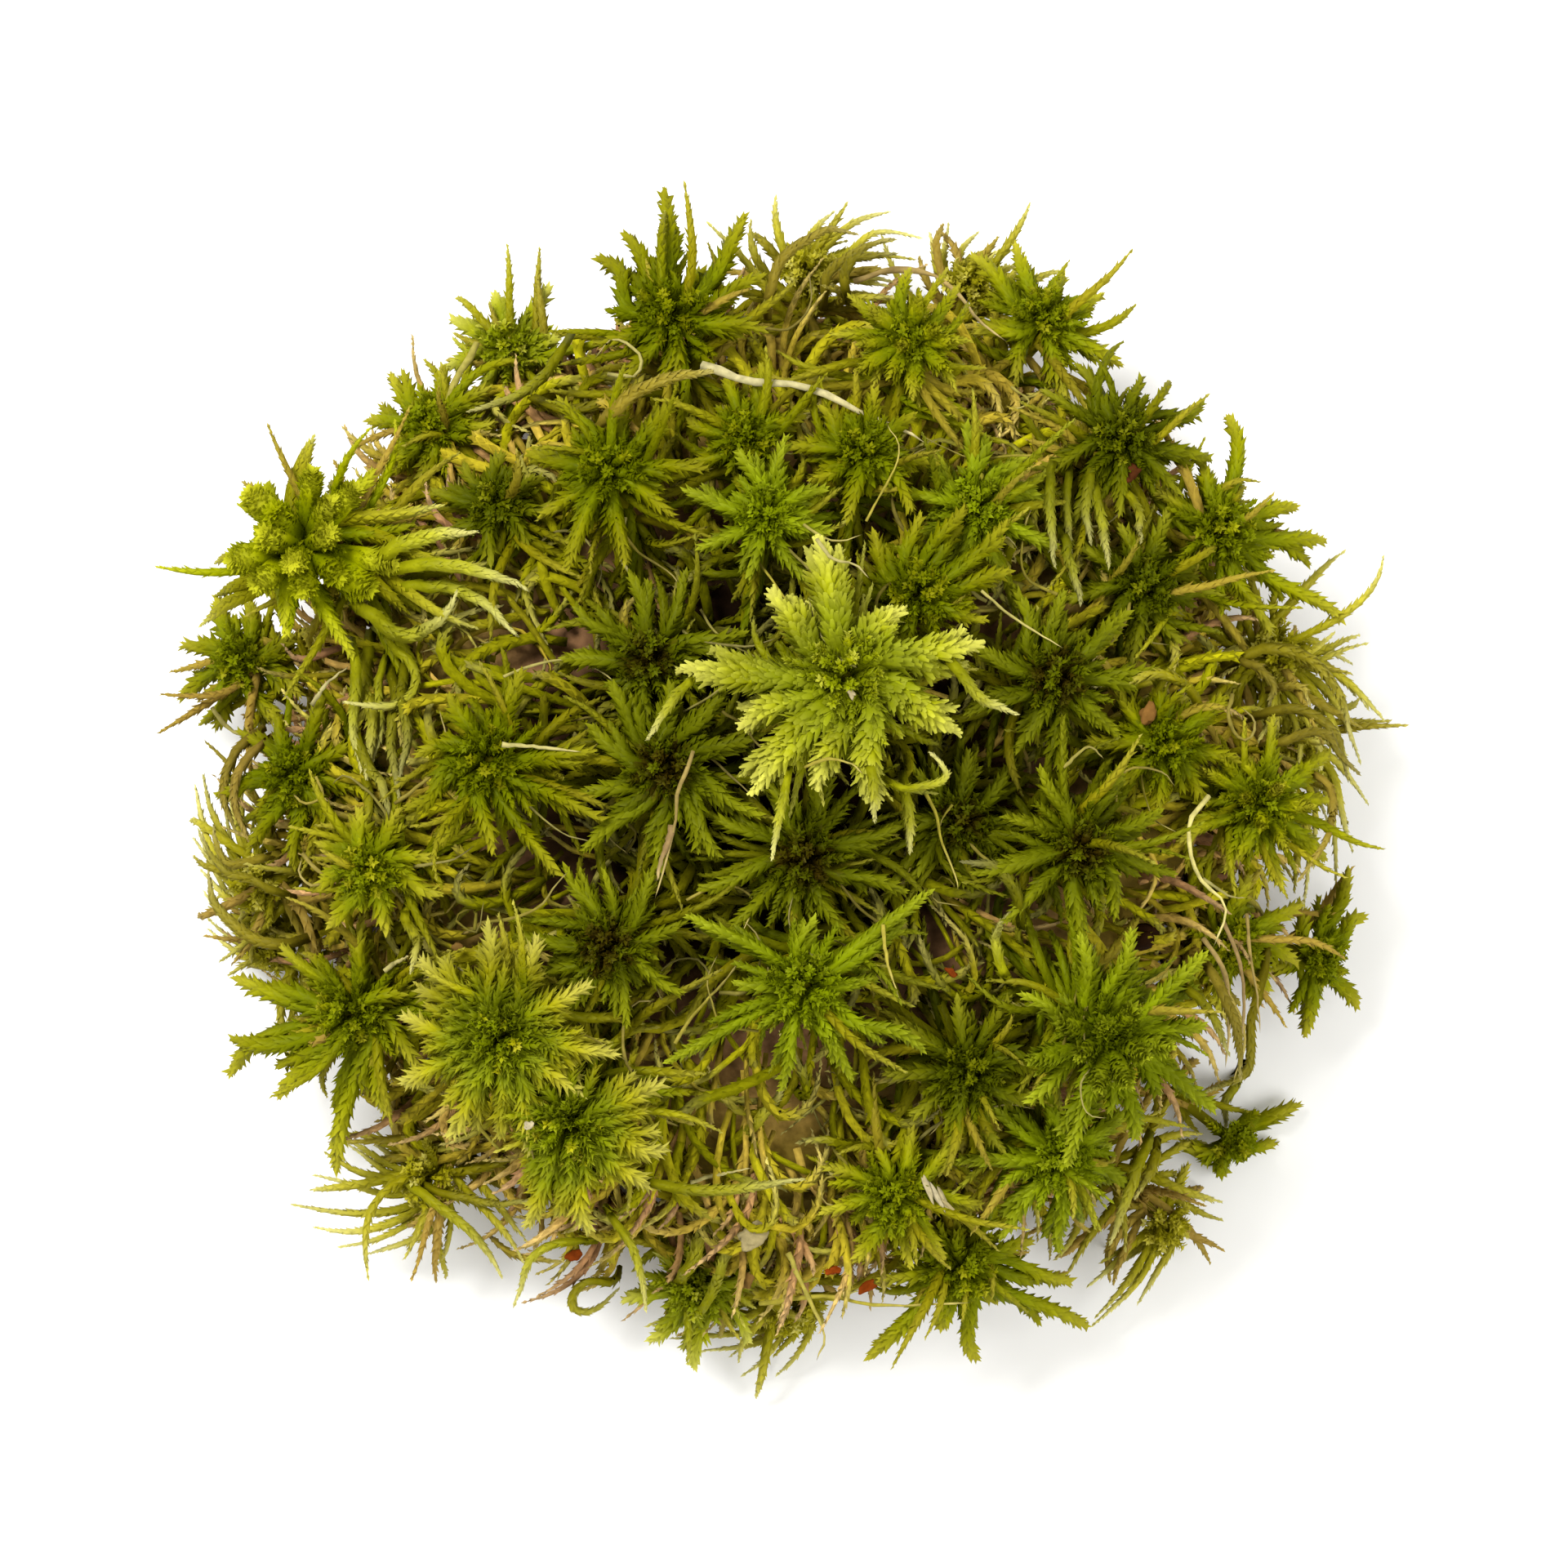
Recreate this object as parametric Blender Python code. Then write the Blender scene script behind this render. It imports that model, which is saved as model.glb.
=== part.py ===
"""A clump of bog moss, as lifted from the ground and set down on a table.

Leafy shoots stand in a mound of their own dead stems. Each shoot is one plant: a stem, a bud of
young branches at its top, and a star of longer branches round the bud. Every branch grows until
it reaches its full length or meets a neighbour.

Metres, +Z up. The origin is the middle of the flat underside that the clump rests on. Seen from
above, +X is to the right and +Y is towards the top.
"""

import math
import random
from collections import namedtuple

import bmesh
import bpy
import numpy as np
from mathutils import Matrix, Vector, geometry, noise
from mathutils.bvhtree import BVHTree

MM = 0.001

# Driving dimensions, in millimetres.
MOUND_RADIUS = 32.5  # the mound of dead stems, at its widest
MOUND_RISE = 19.5  # from that level up to its top
MOUND_LEVEL = 7.0  # height of that level above the underside
MOUND_POWER = 2.6  # 2 is an ellipsoid; more makes the sides steeper and the top flatter
MOUND_RELIEF = 2.4  # its tufts and lumps rise and sink this far from their middle level,
MOUND_SUNK = 1.5  # which is this far inside the smooth cushion
TUFTS = 19  # bundles of stems, side by side round the mound
LUMP_SIZE = 7.0
CANOPY_RADIUS = 40.0  # the dome that the green heads stand on
CANOPY_RISE = 26.0
CANOPY_LEVEL = 8.0
STEM_RADIUS = 0.9  # with the thin branches that sheathe it
STEM_SHOWS = 1.6  # a stem narrows from this far outside the mound
HEAD_STANDS = 2.1  # a head stands at least this many times its bud's radius off the mound
STEM_DEPTH = 3.4  # how deep a stem stands in the mound
BRANCH_RADIUS = 0.72  # with its leaves
GAP = 0.3  # between neighbours that touch
FLOOR_CLEARANCE = 0.95  # lowest centreline of a branch that lies on the table

# Proportions of a shoot.
BUD_BASE, BUD_PER_SPREAD = 0.75, 0.17  # bud radius, from the spread of its star
BUD_CUT = 0.62  # the bud ends this share of its radius below its middle, where the stem joins
TIP_LENGTH = 0.5  # of a young branch on the bud, as a share of its radius
ROOT_CLEARANCE = 0.6  # a branch first bends this far outside its bud,
ROOT_SQUARENESS = 0.7  # nearly square to the facet that it leaves
FACET_REACH = math.cos(math.radians(42))  # a facet's branches are this close to its own direction
LONG_STATIONS = (0.74, 1.0)  # of a long branch's reach: its second bend, and its tip
SHORT_STATIONS = (1.0,)
LONG_REACH = 5.6
BRANCH_TAPER = (1.0, 0.72)  # of its radius, where it bends
TIP_LEAST = 0.7  # least length from a branch's last bend to its tip
ARCH = 0.13  # a branch rises by this share of its reach before it droops
STAR_DROOP, LOW_DROOP = 0.16, 0.95
LOW_BRANCHES, LOW_REACH = 2, 0.52  # hanging branches under the star, and their share of its spread
SHORTEST = 0.34  # a branch that can't have this share of its reach is left out
GROWTH_STEP = 0.06
BEAD = 0.55  # spacing of the points that stand for a branch when it looks for neighbours

HEART = Vector((0, 0, MOUND_LEVEL))  # all the stems point here

Shoot = namedtuple("Shoot", "x y lift spread branches", defaults=((),))
Beads = namedtuple("Beads", "points radii owner")

# Each shoot: where its head stands seen from above, how far it stands above the canopy's dome, and
# the spread of its star. Where they are given, branches are (bearing in degrees, reach).
SHOOTS = {
    "crown": [
        Shoot(5.0, 7.0, 7.0, 9.5, (
            (101, 8.9), (131, 7.0), (178, 11.0), (203, 7.4), (231, 9.6), (255, 7.2),
            (284, 8.4), (310, 6.4), (336, 8.0), (14, 8.8), (52, 5.2))),
    ],
    "inner": [
        Shoot(9.8, 12.6, 0.8, 6.0, ((38, 7.6), (62, 6.4), (14, 6.0), (92, 5.0), (130, 4.6), (340, 4.5))),
        Shoot(-8.1, 8.1, -1.6, 6.0),
        Shoot(-7.2, 0.9, -0.6, 6.6),
        Shoot(2.2, -5.2, -1.8, 6.6),
        Shoot(12.8, -2.7, -4.0, 4.5),
        Shoot(-11.1, -11.1, 0.2, 6.0, (
            (117, 5.6), (92, 4.7), (58, 6.2), (177, 5.8), (205, 5.0), (240, 4.8), (285, 5.0), (330, 5.4), (18, 5.2))),
        Shoot(2.2, -13.8, 2.4, 8.0, (
            (37, 10.0), (147, 8.6), (209, 10.6), (258, 7.0), (298, 6.6), (330, 8.9), (5, 5.0), (84, 4.4), (178, 4.2))),
    ],
    "outer": [
        Shoot(-18.6, 18.7, -2.2, 3.8),
        Shoot(-11.1, 20.9, 1.2, 6.2),
        Shoot(-1.7, 23.2, -0.4, 4.2),
        Shoot(-0.3, 18.0, 1.0, 4.8),
        Shoot(6.2, 22.2, 0.2, 4.6),
        Shoot(14.0, 18.6, -1.2, 5.2),
        Shoot(19.2, 7.0, -0.6, 6.2),
        Shoot(-19.2, 1.4, 1.4, 6.8, (
            (71, 5.9), (5, 6.7), (333, 8.4), (300, 8.8), (272, 5.6), (243, 6.0), (210, 6.1), (172, 4.2), (123, 4.6))),
        Shoot(26.6, 2.4, -1.4, 5.0),
        Shoot(20.8, -4.7, 0.6, 6.2),
        Shoot(-18.3, -17.2, 3.6, 7.2),
        Shoot(-13.8, -23.4, 3.2, 7.4),
        Shoot(22.8, -17.4, 3.2, 7.6),
        Shoot(13.4, -19.8, -0.8, 5.2),
        Shoot(19.6, -25.6, -0.6, 6.4),
        Shoot(-27.4, -6.0, -0.8, 4.2),
    ],
    "rim": [
        Shoot(-6.9, 31.7, 0.6, 7.2, (
            (92, 8.4), (117, 6.0), (52, 8.1), (143, 6.0), (167, 8.8), (24, 6.2), (352, 6.0), (200, 4.8),
            (238, 5.2), (275, 4.6))),
        Shoot(9.4, 30.0, 0.4, 4.8),
        Shoot(18.6, 31.7, -3.0, 5.2, (
            (109, 5.2), (137, 6.1), (24, 4.4), (329, 5.9), (285, 5.4), (193, 4.4), (66, 3.0), (244, 4.6))),
        Shoot(23.9, 23.1, 0.2, 5.6),
        Shoot(-23.3, 24.2, -5.0, 4.6),
        Shoot(-18.0, 29.6, -7.0, 4.0),
        Shoot(-31.9, 15.9, 3.2, 8.0, (
            (87, 7.6), (137, 5.8), (112, 6.0), (190, 6.2), (216, 9.0), (358, 13.2), (336, 13.0), (18, 9.4),
            (50, 6.7), (292, 7.6), (255, 5.6), (165, 4.2))),
        Shoot(30.8, 17.0, -0.8, 7.0, (
            (84, 8.0), (108, 5.4), (20, 5.2), (356, 7.4), (322, 9.5), (294, 7.0), (55, 4.0), (150, 5.2),
            (196, 5.8), (240, 6.6))),
        Shoot(25.4, 13.2, -2.4, 5.2),
        Shoot(-36.7, 8.1, -6.0, 4.2),
        Shoot(-32.5, 0.4, -2.6, 5.4),
        Shoot(33.3, -1.6, -0.6, 5.6),
        Shoot(29.6, -10.4, -7.5, 4.4),
        Shoot(-28.6, -15.8, -2.6, 7.0, (
            (166, 8.3), (203, 9.8), (228, 7.6), (263, 10.4), (288, 7.4), (85, 6.1), (138, 6.0), (320, 5.4),
            (20, 4.8))),
        Shoot(37.8, -12.2, -5.0, 4.2, (
            (69, 6.1), (40, 4.0), (308, 4.2), (261, 5.1), (113, 3.6), (193, 3.4), (340, 2.8))),
        Shoot(8.1, -27.4, -4.0, 5.6),
        Shoot(13.1, -33.4, -4.0, 6.2, (
            (278, 6.3), (354, 7.3), (333, 9.4), (226, 8.6), (252, 4.4), (22, 4.6), (146, 4.4), (104, 4.6),
            (188, 5.0))),
        Shoot(-5.0, -34.0, -9.0, 4.8),
        Shoot(31.9, -24.9, -9.8, 3.6, (
            (27, 5.0), (350, 3.0), (189, 3.2), (217, 3.8), (310, 2.6), (255, 2.4))),
    ],
    "fringe": [
        Shoot(33.6, 8.4, -8.0, 6.4, ((36, 4.6), (8, 5.6), (340, 6.6), (312, 7.0), (284, 6.0))),
        Shoot(35.2, 2.6, -11.0, 6.0, ((30, 3.6), (0, 5.0), (332, 6.0), (304, 6.4), (276, 5.6))),
        Shoot(-34.0, -6.8, -9.0, 5.6, ((134, 5.6), (160, 6.0), (188, 4.6), (214, 4.2))),
        Shoot(-34.2, -11.0, -12.0, 5.6, ((128, 7.0), (154, 6.2), (184, 4.4), (216, 4.0))),
        Shoot(2.2, 33.0, -8.0, 5.2, ((74, 5.4), (48, 6.0), (104, 4.2), (20, 4.6))),
        Shoot(13.4, 34.0, -10.0, 4.8, ((118, 4.4), (90, 3.4), (148, 4.8), (60, 3.2), (20, 4.0))),
        Shoot(-22.6, -26.4, -10.0, 6.2, ((188, 4.6), (216, 6.0), (246, 7.4), (274, 7.0), (302, 6.2))),
        Shoot(1.4, -36.4, -12.0, 4.8, ((205, 4.6), (240, 4.8), (272, 4.4), (304, 4.6))),
        Shoot(27.0, -30.6, -6.0, 4.6, ((262, 5.6), (288, 4.0), (236, 4.8), (320, 3.8))),
    ],
}

# Fresh weight shows as colour: sRGB values and roughness of each group.
GROUP_COLOURS = {
    "crown": (0.68, 0.72, 0.16),
    "inner": (0.31, 0.38, 0.05),
    "outer": (0.43, 0.48, 0.07),
    "rim": (0.47, 0.52, 0.10),
    "fringe": (0.50, 0.47, 0.16),
}
MOUND_COLOUR = (0.44, 0.36, 0.20)
LEAF_ROUGHNESS, MOUND_ROUGHNESS = 0.55, 0.9

MOUND_SEGMENTS, MOUND_RINGS = 2 * TUFTS, 14
SOCKET_SIDES = 4
SOCKET_LEAD = 4.0  # a socket's cutter starts this far outside the mound


def clear_scene():
    for obj in list(bpy.data.objects):
        bpy.data.objects.remove(obj, do_unlink=True)


def linear(colour):
    return [((c + 0.055) / 1.055) ** 2.4 if c > 0.04045 else c / 12.92 for c in colour]


def make_material(name, colour, roughness):
    material = bpy.data.materials.new(name)
    material.use_nodes = True
    shader = material.node_tree.nodes["Principled BSDF"]
    shader.inputs["Base Color"].default_value = (*linear(colour), 1.0)
    shader.inputs["Roughness"].default_value = roughness
    shader.inputs["Metallic"].default_value = 0.0
    return material


def finish_object(bm, name, material):
    """Turns a bmesh drawn in millimetres into an object in metres, with its faces pointing out."""
    bmesh.ops.scale(bm, verts=bm.verts, vec=(MM, MM, MM))
    bmesh.ops.triangulate(bm, faces=bm.faces)
    bmesh.ops.recalc_face_normals(bm, faces=bm.faces)
    mesh = bpy.data.meshes.new(name)
    bm.to_mesh(mesh)
    bm.free()
    mesh.materials.append(material)
    mesh.shade_smooth()
    mesh.set_sharp_from_angle(angle=math.radians(40))
    obj = bpy.data.objects.new(name, mesh)
    bpy.context.scene.collection.objects.link(obj)
    return obj


# Where the shoots stand


def bud_radius(shoot):
    return BUD_BASE + BUD_PER_SPREAD * shoot.spread


def mound_reach(way):
    """How far the mound's surface is from its heart, along a direction and before its lumps."""
    way = way.normalized()
    across = (math.hypot(way.x, way.y) / MOUND_RADIUS) ** MOUND_POWER
    up = (abs(way.z) / MOUND_RISE) ** MOUND_POWER
    return (across + up) ** (-1 / MOUND_POWER)


def dome_share(x, y):
    """How far out on the canopy's dome a point is, from 0 at its top to just under 1 at its edge."""
    return min(math.hypot(x, y) / CANOPY_RADIUS, 0.98)


def head_centre(shoot):
    height = CANOPY_LEVEL + CANOPY_RISE * math.sqrt(1 - dome_share(shoot.x, shoot.y) ** 2)
    outward = Vector((shoot.x, shoot.y, height + shoot.lift)) - HEART
    clear = mound_reach(outward) + HEAD_STANDS * bud_radius(shoot)
    return HEART + outward.normalized() * max(outward.length, clear)


def head_axis(shoot):
    """The way a head faces: upwards in the middle of the clump, and leaning out towards its rim."""
    lean = 0.72 / CANOPY_RADIUS
    upward = 0.2 + math.sqrt(1 - dome_share(shoot.x, shoot.y) ** 2)
    return Vector((shoot.x * lean, shoot.y * lean, upward)).normalized()


def stem_points(shoot):
    """Where a stem narrows and where it ends in the mound, on its way to the middle of the clump."""
    outward = (head_centre(shoot) - HEART).normalized()
    surface = mound_reach(outward)
    return [HEART + outward * (surface + STEM_SHOWS), HEART + outward * (surface - STEM_DEPTH)]


def star_of(shoot, chance):
    """The (bearing, reach, droop) of each branch of a shoot, its star first and then those below it."""
    star = shoot.branches
    if not star:
        count = 10 if shoot.spread > 6.5 else 9 if shoot.spread > 5 else 8
        turn = chance.uniform(0, 360)
        star = [
            (turn + 360 * (k + chance.uniform(-0.2, 0.2)) / count, shoot.spread * chance.uniform(0.78, 1.12))
            for k in range(count)
        ]
    turn = chance.uniform(0, 360)
    low = [
        (turn + 360 * (k + chance.uniform(-0.2, 0.2)) / LOW_BRANCHES, shoot.spread * LOW_REACH)
        for k in range(LOW_BRANCHES)
    ]
    return [(*branch, STAR_DROOP) for branch in star] + [(*branch, LOW_DROOP) for branch in low]


def branch_point(shoot, bearing, reach, droop, share):
    """A point that far along a branch. Its reach is measured as seen from above."""
    axis, centre = head_axis(shoot), head_centre(shoot)
    level = Vector((math.cos(math.radians(bearing)), math.sin(math.radians(bearing)), 0))
    slope = max(-0.85, min(0.3, -level.dot(axis) / max(axis.z, 0.35)))
    height = slope * share + ARCH * math.sin(math.pi * share) - droop * share**2
    point = centre + level * reach * share + Vector((0, 0, reach * height))
    point.z = max(point.z, FLOOR_CLEARANCE)
    return point


def branch_heading(shoot, bearing, reach, droop):
    """The way a branch sets out from the middle of its bud."""
    return (branch_point(shoot, bearing, reach, droop, 0.5) - head_centre(shoot)).normalized()


def branch_points(shoot, bearing, reach, droop, facet):
    """The bends and the tip of a branch that leaves the bud by the facet in that direction."""
    outward = facet * ROOT_SQUARENESS + branch_heading(shoot, bearing, reach, droop) * (1 - ROOT_SQUARENESS)
    root = head_centre(shoot) + outward.normalized() * (bud_radius(shoot) + ROOT_CLEARANCE)
    stations = LONG_STATIONS if reach > LONG_REACH else SHORT_STATIONS
    return [root] + [branch_point(shoot, bearing, reach, droop, share) for share in stations]


def branch_radii(bends):
    return [BRANCH_RADIUS * taper for taper in BRANCH_TAPER[: len(bends) - 1]]


# Growing the branches clear of each other


def bead_string(points, radii):
    """Points no further apart than BEAD along a line of points, with the radius at each."""
    strung, sizes = [], []
    for (a, b), (ra, rb) in zip(zip(points, points[1:]), zip(radii, radii[1:])):
        count = max(2, math.ceil((b - a).length / BEAD) + 1)
        for k in range(count):
            strung.append(a.lerp(b, k / (count - 1)))
            sizes.append(ra + (rb - ra) * k / (count - 1))
    return np.array(strung), np.array(sizes)


def clear_of_mound(points, radii):
    margin = radii + GAP + MOUND_RELIEF - MOUND_SUNK
    level = np.hypot(points[:, 0], points[:, 1]) / (MOUND_RADIUS + margin)
    height = np.maximum(points[:, 2] - MOUND_LEVEL, 0) / (MOUND_RISE + margin)
    return bool((level**MOUND_POWER + height**MOUND_POWER > 1).all())


def clear_of_others(points, radii, owner, beads):
    others = beads.owner != owner
    apart = np.linalg.norm(points[:, None] - beads.points[None, others], axis=2)
    return bool((apart > radii[:, None] + beads.radii[None, others] + GAP).all())


def with_beads(beads, points, radii, owner):
    return Beads(
        np.concatenate([beads.points, points]),
        np.concatenate([beads.radii, radii]),
        np.concatenate([beads.owner, np.full(len(points), owner)]),
    )


def free_facet(heading, facets, taken):
    """The number of the untaken facet that faces nearest to a heading, or None if none is near."""
    dots = [(facet.dot(heading), k) for k, facet in enumerate(facets) if k not in taken]
    dot, nearest = max(dots, default=(-1.0, None))
    return nearest if dot > FACET_REACH else None


def grow_branches(shoots):
    """For each shoot, the points of every branch that it has room for, by the facet each one leaves.

    The highest shoots grow first.
    """
    beads = Beads(np.zeros((0, 3)), np.zeros(0), np.zeros(0))
    for owner, shoot in enumerate(shoots):
        stem = [head_centre(shoot), *stem_points(shoot)]
        size = bud_radius(shoot)
        beads = with_beads(beads, *bead_string(stem, [size, STEM_RADIUS, 0.0]), owner)
        crest = head_centre(shoot) + head_axis(shoot) * size * 0.8
        beads = with_beads(beads, np.array([crest]), np.array([size * 0.8]), owner)
    grown = {}
    order = sorted(range(len(shoots)), key=lambda i: -head_centre(shoots[i]).z)
    for owner in order:
        shoot, chance = shoots[owner], random.Random(owner)
        grown[owner] = {}
        centre = head_centre(shoot)
        facets = side_facets(shoot)
        for bearing, reach, droop in star_of(shoot, chance):
            facet = free_facet(branch_heading(shoot, bearing, reach, droop), facets, grown[owner])
            share = 1.0
            while facet is not None and share > SHORTEST:
                bends = branch_points(shoot, bearing, reach * share, droop, facets[facet])
                share -= GROWTH_STEP
                if (bends[-1] - centre).length < (bends[-2] - centre).length + TIP_LEAST:
                    break
                outside = centre.lerp(bends[0], bud_radius(shoot) / (bends[0] - centre).length)
                points, radii = bead_string([outside, *bends], [BRANCH_RADIUS, *branch_radii(bends), 0.0])
                if clear_of_mound(points, radii) and clear_of_others(points, radii, owner, beads):
                    if not crosses_itself(draw_shoot(shoot, {**grown[owner], facet: bends})):
                        beads = with_beads(beads, points, radii, owner)
                        grown[owner][facet] = bends
                        break
    return [grown[owner] for owner in range(len(shoots))]


# Building the solids


def push_face(bm, face, centre, radius, heading):
    """Extrudes a face to a new one that lies across heading at centre, its corners radius away."""
    pushed = bmesh.ops.extrude_discrete_faces(bm, faces=[face])["faces"][0]
    pushed.normal_update()
    middle = pushed.calc_center_median()
    turn = pushed.normal.rotation_difference(heading)
    for corner in pushed.verts:
        corner.co = centre + (turn @ (corner.co - middle)).normalized() * radius
    pushed.normal_update()
    return pushed


def draw_to_point(bm, face, tip):
    bmesh.ops.poke(bm, faces=[face])["verts"][0].co = tip


def draw_limb(bm, face, points, radii):
    """Grows a tapered limb out of a face, through points and down to a point at the last one."""
    before = face.calc_center_median()
    for point, after, radius in zip(points, points[1:], radii):
        face = push_face(bm, face, point, radius, (after - before).normalized())
        before = point
    draw_to_point(bm, face, points[-1])


def draw_bud(shoot):
    """A faceted bud where the shoot's head stands.

    Returns its mesh, its underside, its side facets and its crown of facets.
    """
    centre, axis, size = head_centre(shoot), head_axis(shoot), bud_radius(shoot)
    bm = bmesh.new()
    bmesh.ops.create_icosphere(bm, subdivisions=1, radius=size)
    cut = bmesh.ops.bisect_plane(
        bm, geom=bm.verts[:] + bm.edges[:] + bm.faces[:],
        plane_co=(0, 0, -size * BUD_CUT), plane_no=(0, 0, -1), clear_outer=True)
    rim = [e for e in cut["geom_cut"] if isinstance(e, bmesh.types.BMEdge)]
    bmesh.ops.edgeloop_fill(bm, edges=rim)
    bmesh.ops.recalc_face_normals(bm, faces=bm.faces)
    upright = Vector((0, 0, 1)).rotation_difference(axis).to_matrix().to_4x4()
    bmesh.ops.transform(bm, matrix=Matrix.Translation(centre) @ upright, verts=bm.verts)
    faces = sorted(bm.faces, key=lambda face: (face.calc_center_median() - centre).dot(axis))
    return bm, faces[0], faces[1:16], faces[16:]


def side_facets(shoot):
    """The direction of each side facet of a shoot's bud, seen from the bud's middle."""
    bm, _, sides, _ = draw_bud(shoot)
    facets = [(face.calc_center_median() - head_centre(shoot)).normalized() for face in sides]
    bm.free()
    return facets


def draw_shoot(shoot, branches):
    """One plant: a faceted bud, the branches that leave its facets, and its stem down into the mound."""
    bm, underside, sides, crown = draw_bud(shoot)
    centre = head_centre(shoot)
    for facet, bends in sorted(branches.items()):
        draw_limb(bm, sides[facet], bends, branch_radii(bends))
    for face in crown:
        middle = face.calc_center_median()
        draw_to_point(bm, face, middle + (middle - centre).normalized() * bud_radius(shoot) * TIP_LENGTH)
    draw_limb(bm, underside, stem_points(shoot), [STEM_RADIUS])
    bmesh.ops.triangulate(bm, faces=bm.faces)
    bmesh.ops.recalc_face_normals(bm, faces=bm.faces)
    return bm


def passes_through(one, other):
    """True where an edge of one triangle goes through another, apart from the corners they share."""
    corners = [vert.co for vert in other.verts]
    for edge in one.edges:
        start, end = edge.verts
        if start not in other.verts[:] and end not in other.verts[:]:
            hit = geometry.intersect_ray_tri(*corners, end.co - start.co, start.co)
            if hit and (hit - start.co).length < (end.co - start.co).length:
                return True
    return False


def crosses_itself(bm):
    """True where two walls of a triangle mesh pass through each other. Frees the mesh."""
    bm.faces.ensure_lookup_table()
    tree = BVHTree.FromBMesh(bm)
    pairs = [(bm.faces[a], bm.faces[b]) for a, b in tree.overlap(tree) if a != b]
    crossing = any(passes_through(one, other) for one, other in pairs)
    bm.free()
    return crossing


def relief(way):
    """How far the mound's surface stands out in a direction from its heart, from minus one to one."""
    tuft = math.cos(math.atan2(way.y, way.x) * TUFTS) * math.hypot(way.x, way.y)
    lump = noise.noise(way * MOUND_RADIUS / LUMP_SIZE)
    return max(-1.0, min(1.0, 0.7 * tuft + 1.1 * lump))


def build_mound(shoots, material):
    """The mound of dead stems: a tufted cushion with a flat underside and a socket round each stem."""
    bm = bmesh.new()
    bmesh.ops.create_uvsphere(bm, u_segments=MOUND_SEGMENTS, v_segments=MOUND_RINGS, radius=1)
    for vert in bm.verts:
        way = Vector((vert.co.x * MOUND_RADIUS, vert.co.y * MOUND_RADIUS, vert.co.z * MOUND_RISE)).normalized()
        vert.co = HEART + way * (mound_reach(way) - MOUND_SUNK + MOUND_RELIEF * relief(way))
    cut = bmesh.ops.bisect_plane(
        bm, geom=bm.verts[:] + bm.edges[:] + bm.faces[:],
        plane_co=(0, 0, 0), plane_no=(0, 0, -1), clear_outer=True)
    rim = [e for e in cut["geom_cut"] if isinstance(e, bmesh.types.BMEdge)]
    bmesh.ops.edgeloop_fill(bm, edges=rim)
    mound = finish_object(bm, "dead_stem_mound", material)

    sockets = mound.modifiers.new("Stem sockets", "BOOLEAN")
    sockets.operation = "DIFFERENCE"
    sockets.solver = "EXACT"
    sockets.object = socket_cutter(shoots, material)
    return mound


def socket_cutter(shoots, material):
    """Prisms a gap wider than each stem, which cut the mound's sockets."""
    bm = bmesh.new()
    bore = (STEM_RADIUS + GAP) / math.cos(math.pi / SOCKET_SIDES) + 0.05
    for shoot in shoots:
        outer, inner = stem_points(shoot)
        inward = (inner - outer).normalized()
        start, end = outer - inward * SOCKET_LEAD, inner + inward * GAP
        turn = Vector((0, 0, 1)).rotation_difference(inward).to_matrix().to_4x4()
        bmesh.ops.create_cone(
            bm, cap_ends=True, segments=SOCKET_SIDES, radius1=bore, radius2=bore * 0.75,
            depth=(end - start).length, matrix=Matrix.Translation((start + end) / 2) @ turn)
    cutter = finish_object(bm, "stem_socket_cutter", material)
    cutter.hide_render = True
    cutter.display_type = "WIRE"
    return cutter


def main():
    clear_scene()
    named = [
        (f"{group}_shoot_{k + 1}" if len(members) > 1 else f"{group}_shoot", group, shoot)
        for group, members in SHOOTS.items()
        for k, shoot in enumerate(members)
    ]
    shoots = [shoot for _, _, shoot in named]
    greens = {
        group: make_material(f"{group}_green", colour, LEAF_ROUGHNESS)
        for group, colour in GROUP_COLOURS.items()
    }
    for (name, group, shoot), branches in zip(named, grow_branches(shoots)):
        finish_object(draw_shoot(shoot, branches), name, greens[group])
    build_mound(shoots, make_material("dead_stems", MOUND_COLOUR, MOUND_ROUGHNESS))


main()
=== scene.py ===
"""A clump of living bog moss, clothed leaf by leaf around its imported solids.

Each solid shoot gives the line of every branch it holds. Those lines are clothed in overlapping
leaves, and the finer growth that the solids leave out is added: the young branches that crowd each
bud, the hanging branches round each stem, and the mat of dead stems under them all.

Sizes in the classes are in millimetres and angles in degrees. Meshes are made in metres.
"""

import logging
import math
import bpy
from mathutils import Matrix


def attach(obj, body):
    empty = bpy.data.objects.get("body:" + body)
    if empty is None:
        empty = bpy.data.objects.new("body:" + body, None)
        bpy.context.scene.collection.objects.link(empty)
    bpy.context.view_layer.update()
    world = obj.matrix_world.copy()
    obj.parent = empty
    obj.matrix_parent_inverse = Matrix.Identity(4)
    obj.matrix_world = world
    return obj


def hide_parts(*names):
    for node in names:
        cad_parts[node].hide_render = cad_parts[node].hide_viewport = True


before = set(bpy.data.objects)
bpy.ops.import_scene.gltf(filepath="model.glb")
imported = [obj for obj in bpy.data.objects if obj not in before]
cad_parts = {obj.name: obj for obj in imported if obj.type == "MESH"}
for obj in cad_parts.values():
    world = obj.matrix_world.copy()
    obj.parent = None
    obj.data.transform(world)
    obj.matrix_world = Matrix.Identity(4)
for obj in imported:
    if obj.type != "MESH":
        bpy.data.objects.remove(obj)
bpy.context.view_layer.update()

import zlib
from dataclasses import dataclass, field, replace
from enum import Enum
from typing import ClassVar

import bmesh
import bpy
import numpy as np
from mathutils import Vector
from mathutils.bvhtree import BVHTree

Array = np.ndarray
Rng = np.random.Generator
Socket = bpy.types.NodeSocket
Tree = bpy.types.NodeTree
Place = tuple[float, float]
log = logging.getLogger("moss_clump")

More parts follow.
